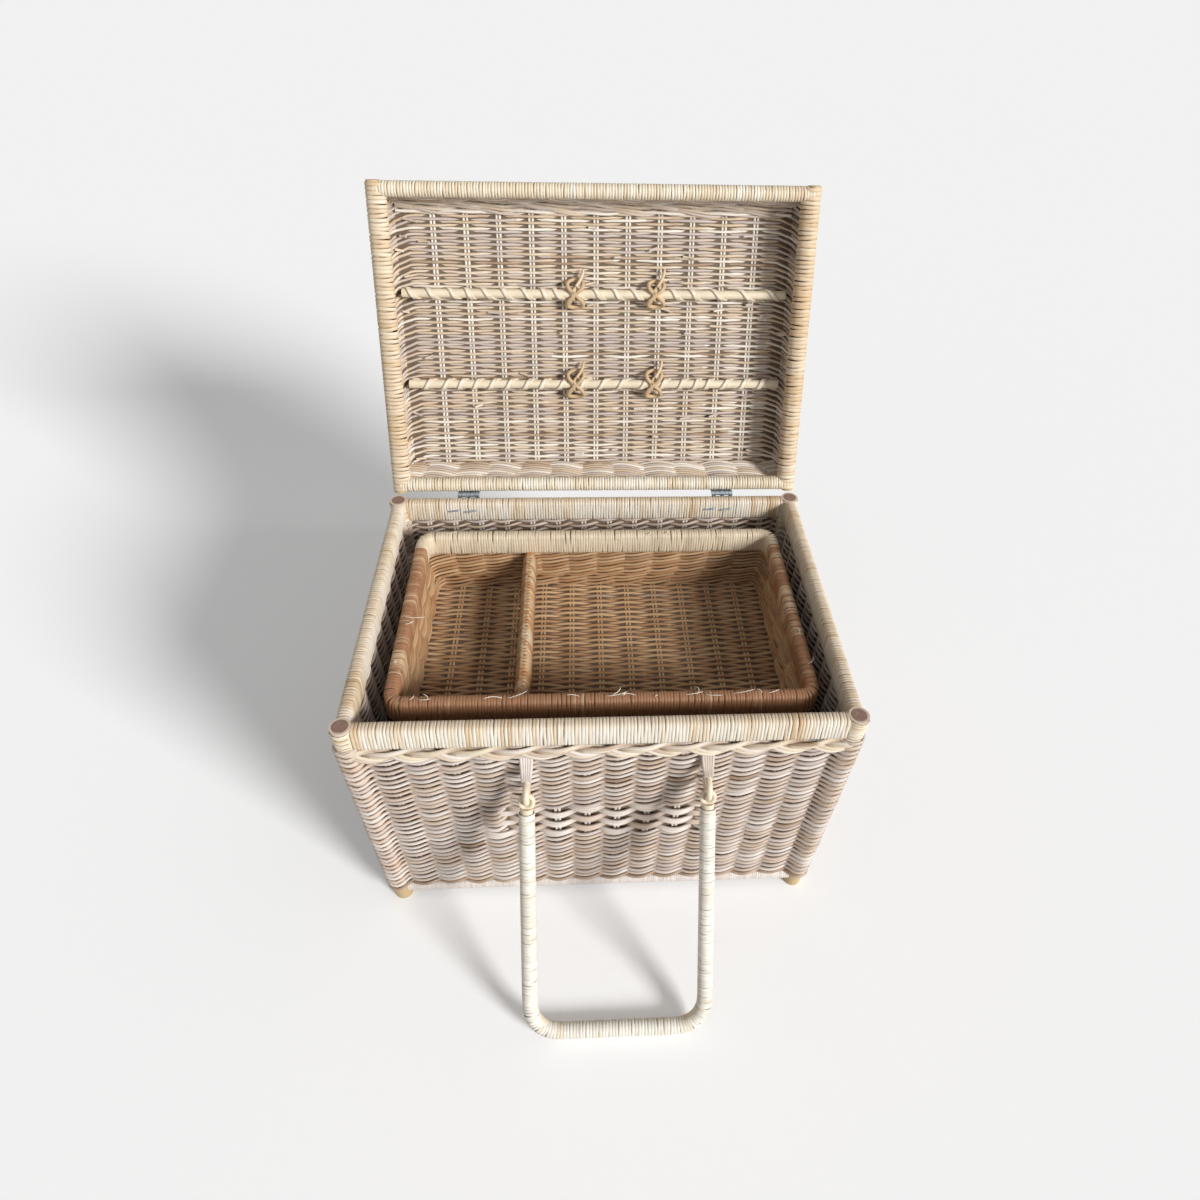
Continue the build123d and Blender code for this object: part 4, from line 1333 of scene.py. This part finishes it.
class BASKET_OT_stage(BasketPiece, bpy.types.Operator):
    """Sets the floor, the lights and the camera"""
    bl_idname = "basket.stage"
    bl_label = "Stage"
    floor_lift: FloatProperty(name="Floor lift", default=0.12, min=0,
                              description="Light that only the camera sees on the floor, so that it stays pale")

    def execute(self, context):
        scene, white, half = context.scene, (1, 1, 1, 1), 40.0
        corners = [(-half, -half, 0), (half, -half, 0), (half, half, 0), (-half, half, 0)]
        floor = add_object("floor", new_mesh("floor", corners, (), [(0, 1, 2, 3)]))
        finish, bench, shader = new_finish("plain floor")
        bench.fill(shader, {"Base Color": (*self.colours.floor, 1), "Roughness": 0.9, "Specular IOR Level": 0.0})
        strength = bench.times(bench.seen(), self.floor_lift)
        glow = bench.add("ShaderNodeEmission", {"Color": white, "Strength": strength})
        both = bench.add("ShaderNodeAddShader", {0: shader.outputs[0], 1: glow.outputs[0]})
        bench.fill(finish.node_tree.nodes["Material Output"], {0: both.outputs[0]})
        floor.data.materials.append(finish)

        sun = bpy.data.lights.new("key light", "SUN")
        sun.energy, sun.angle = 3.9, math.radians(17)
        to_sun = Vector((1.0, -0.95, 0.62))
        add_object("key light", sun).matrix_world = to_sun.to_track_quat("Z", "Y").to_matrix().to_4x4()

        scene.world = bpy.data.worlds.new("studio")
        scene.world.use_nodes = True
        bench = Bench(scene.world.node_tree)
        bench.tree.nodes.clear()
        sky_light, sky_seen = 0.34, 0.875
        strength = bench.spread(bench.seen(), 0.0, 1.0, sky_light, sky_seen)
        back = bench.add("ShaderNodeBackground", {"Color": white, "Strength": strength})
        bench.add("ShaderNodeOutputWorld", {0: back.outputs[0]})

        lens = bpy.data.cameras.new("camera")
        lens.lens, lens.sensor_width, lens.clip_end = 27.0, 36.0, 200.0
        image, centre_x, centre_y = 1200.0, 632.94, 499.37
        lens.shift_x, lens.shift_y = (image / 2 - centre_x) / image, (centre_y - image / 2) / image
        yaw, pitch, roll = 0.07553, 0.64212, 0.03814
        ahead = Vector((math.sin(yaw) * math.cos(pitch), math.cos(yaw) * math.cos(pitch), -math.sin(pitch)))
        right = Vector((math.cos(yaw), -math.sin(yaw), 0))
        over = right.cross(ahead)
        side = right * math.cos(roll) + over * math.sin(roll)
        top = over * math.cos(roll) - right * math.sin(roll)
        turned = Matrix((side, top, -ahead)).transposed().to_4x4()
        scene.camera = add_object("camera", lens)
        scene.camera.matrix_world = Matrix.Translation((-0.02119, -0.68433, 0.93080)) @ turned
        scene.view_settings.view_transform = "Standard"
        return {"FINISHED"}


pieces = (BASKET_OT_stage, BASKET_OT_frame_finish, BASKET_OT_body_weave, BASKET_OT_floor_weave, BASKET_OT_border,
          BASKET_OT_rim_cane, BASKET_OT_post_ends, BASKET_OT_foot_cane, BASKET_OT_lid_weave, BASKET_OT_lid_cane,
          BASKET_OT_lid_rods, BASKET_OT_tray_weave, BASKET_OT_tray_cane, BASKET_OT_loose_fibres,
          BASKET_OT_handle_cane)


class BASKET_PT_panel(bpy.types.Panel):
    """Lists the basket's pieces, sizes and colours."""
    bl_idname = "BASKET_PT_panel"
    bl_label = "Picnic basket"
    bl_space_type = "VIEW_3D"
    bl_region_type = "UI"
    bl_category = "Basket"

    def draw(self, context):
        column = self.layout.column()
        for piece in pieces:
            column.operator(piece.bl_idname)
        for group in (context.scene.basket_sizes, context.scene.basket_colours):
            for name in group.__annotations__:
                column.prop(group, name)


classes = (BasketSizes, BasketColours, *pieces, BASKET_PT_panel)


def register():
    for item in classes:
        bpy.utils.register_class(item)
    bpy.types.Scene.basket_sizes = bpy.props.PointerProperty(type=BasketSizes)
    bpy.types.Scene.basket_colours = bpy.props.PointerProperty(type=BasketColours)


def unregister():
    del bpy.types.Scene.basket_sizes
    del bpy.types.Scene.basket_colours
    for item in reversed(classes):
        bpy.utils.unregister_class(item)


def main():
    register()
    for piece in pieces:
        group, name = piece.bl_idname.split(".")
        getattr(getattr(bpy.ops, group), name)()


if __name__ == "__main__":
    main()
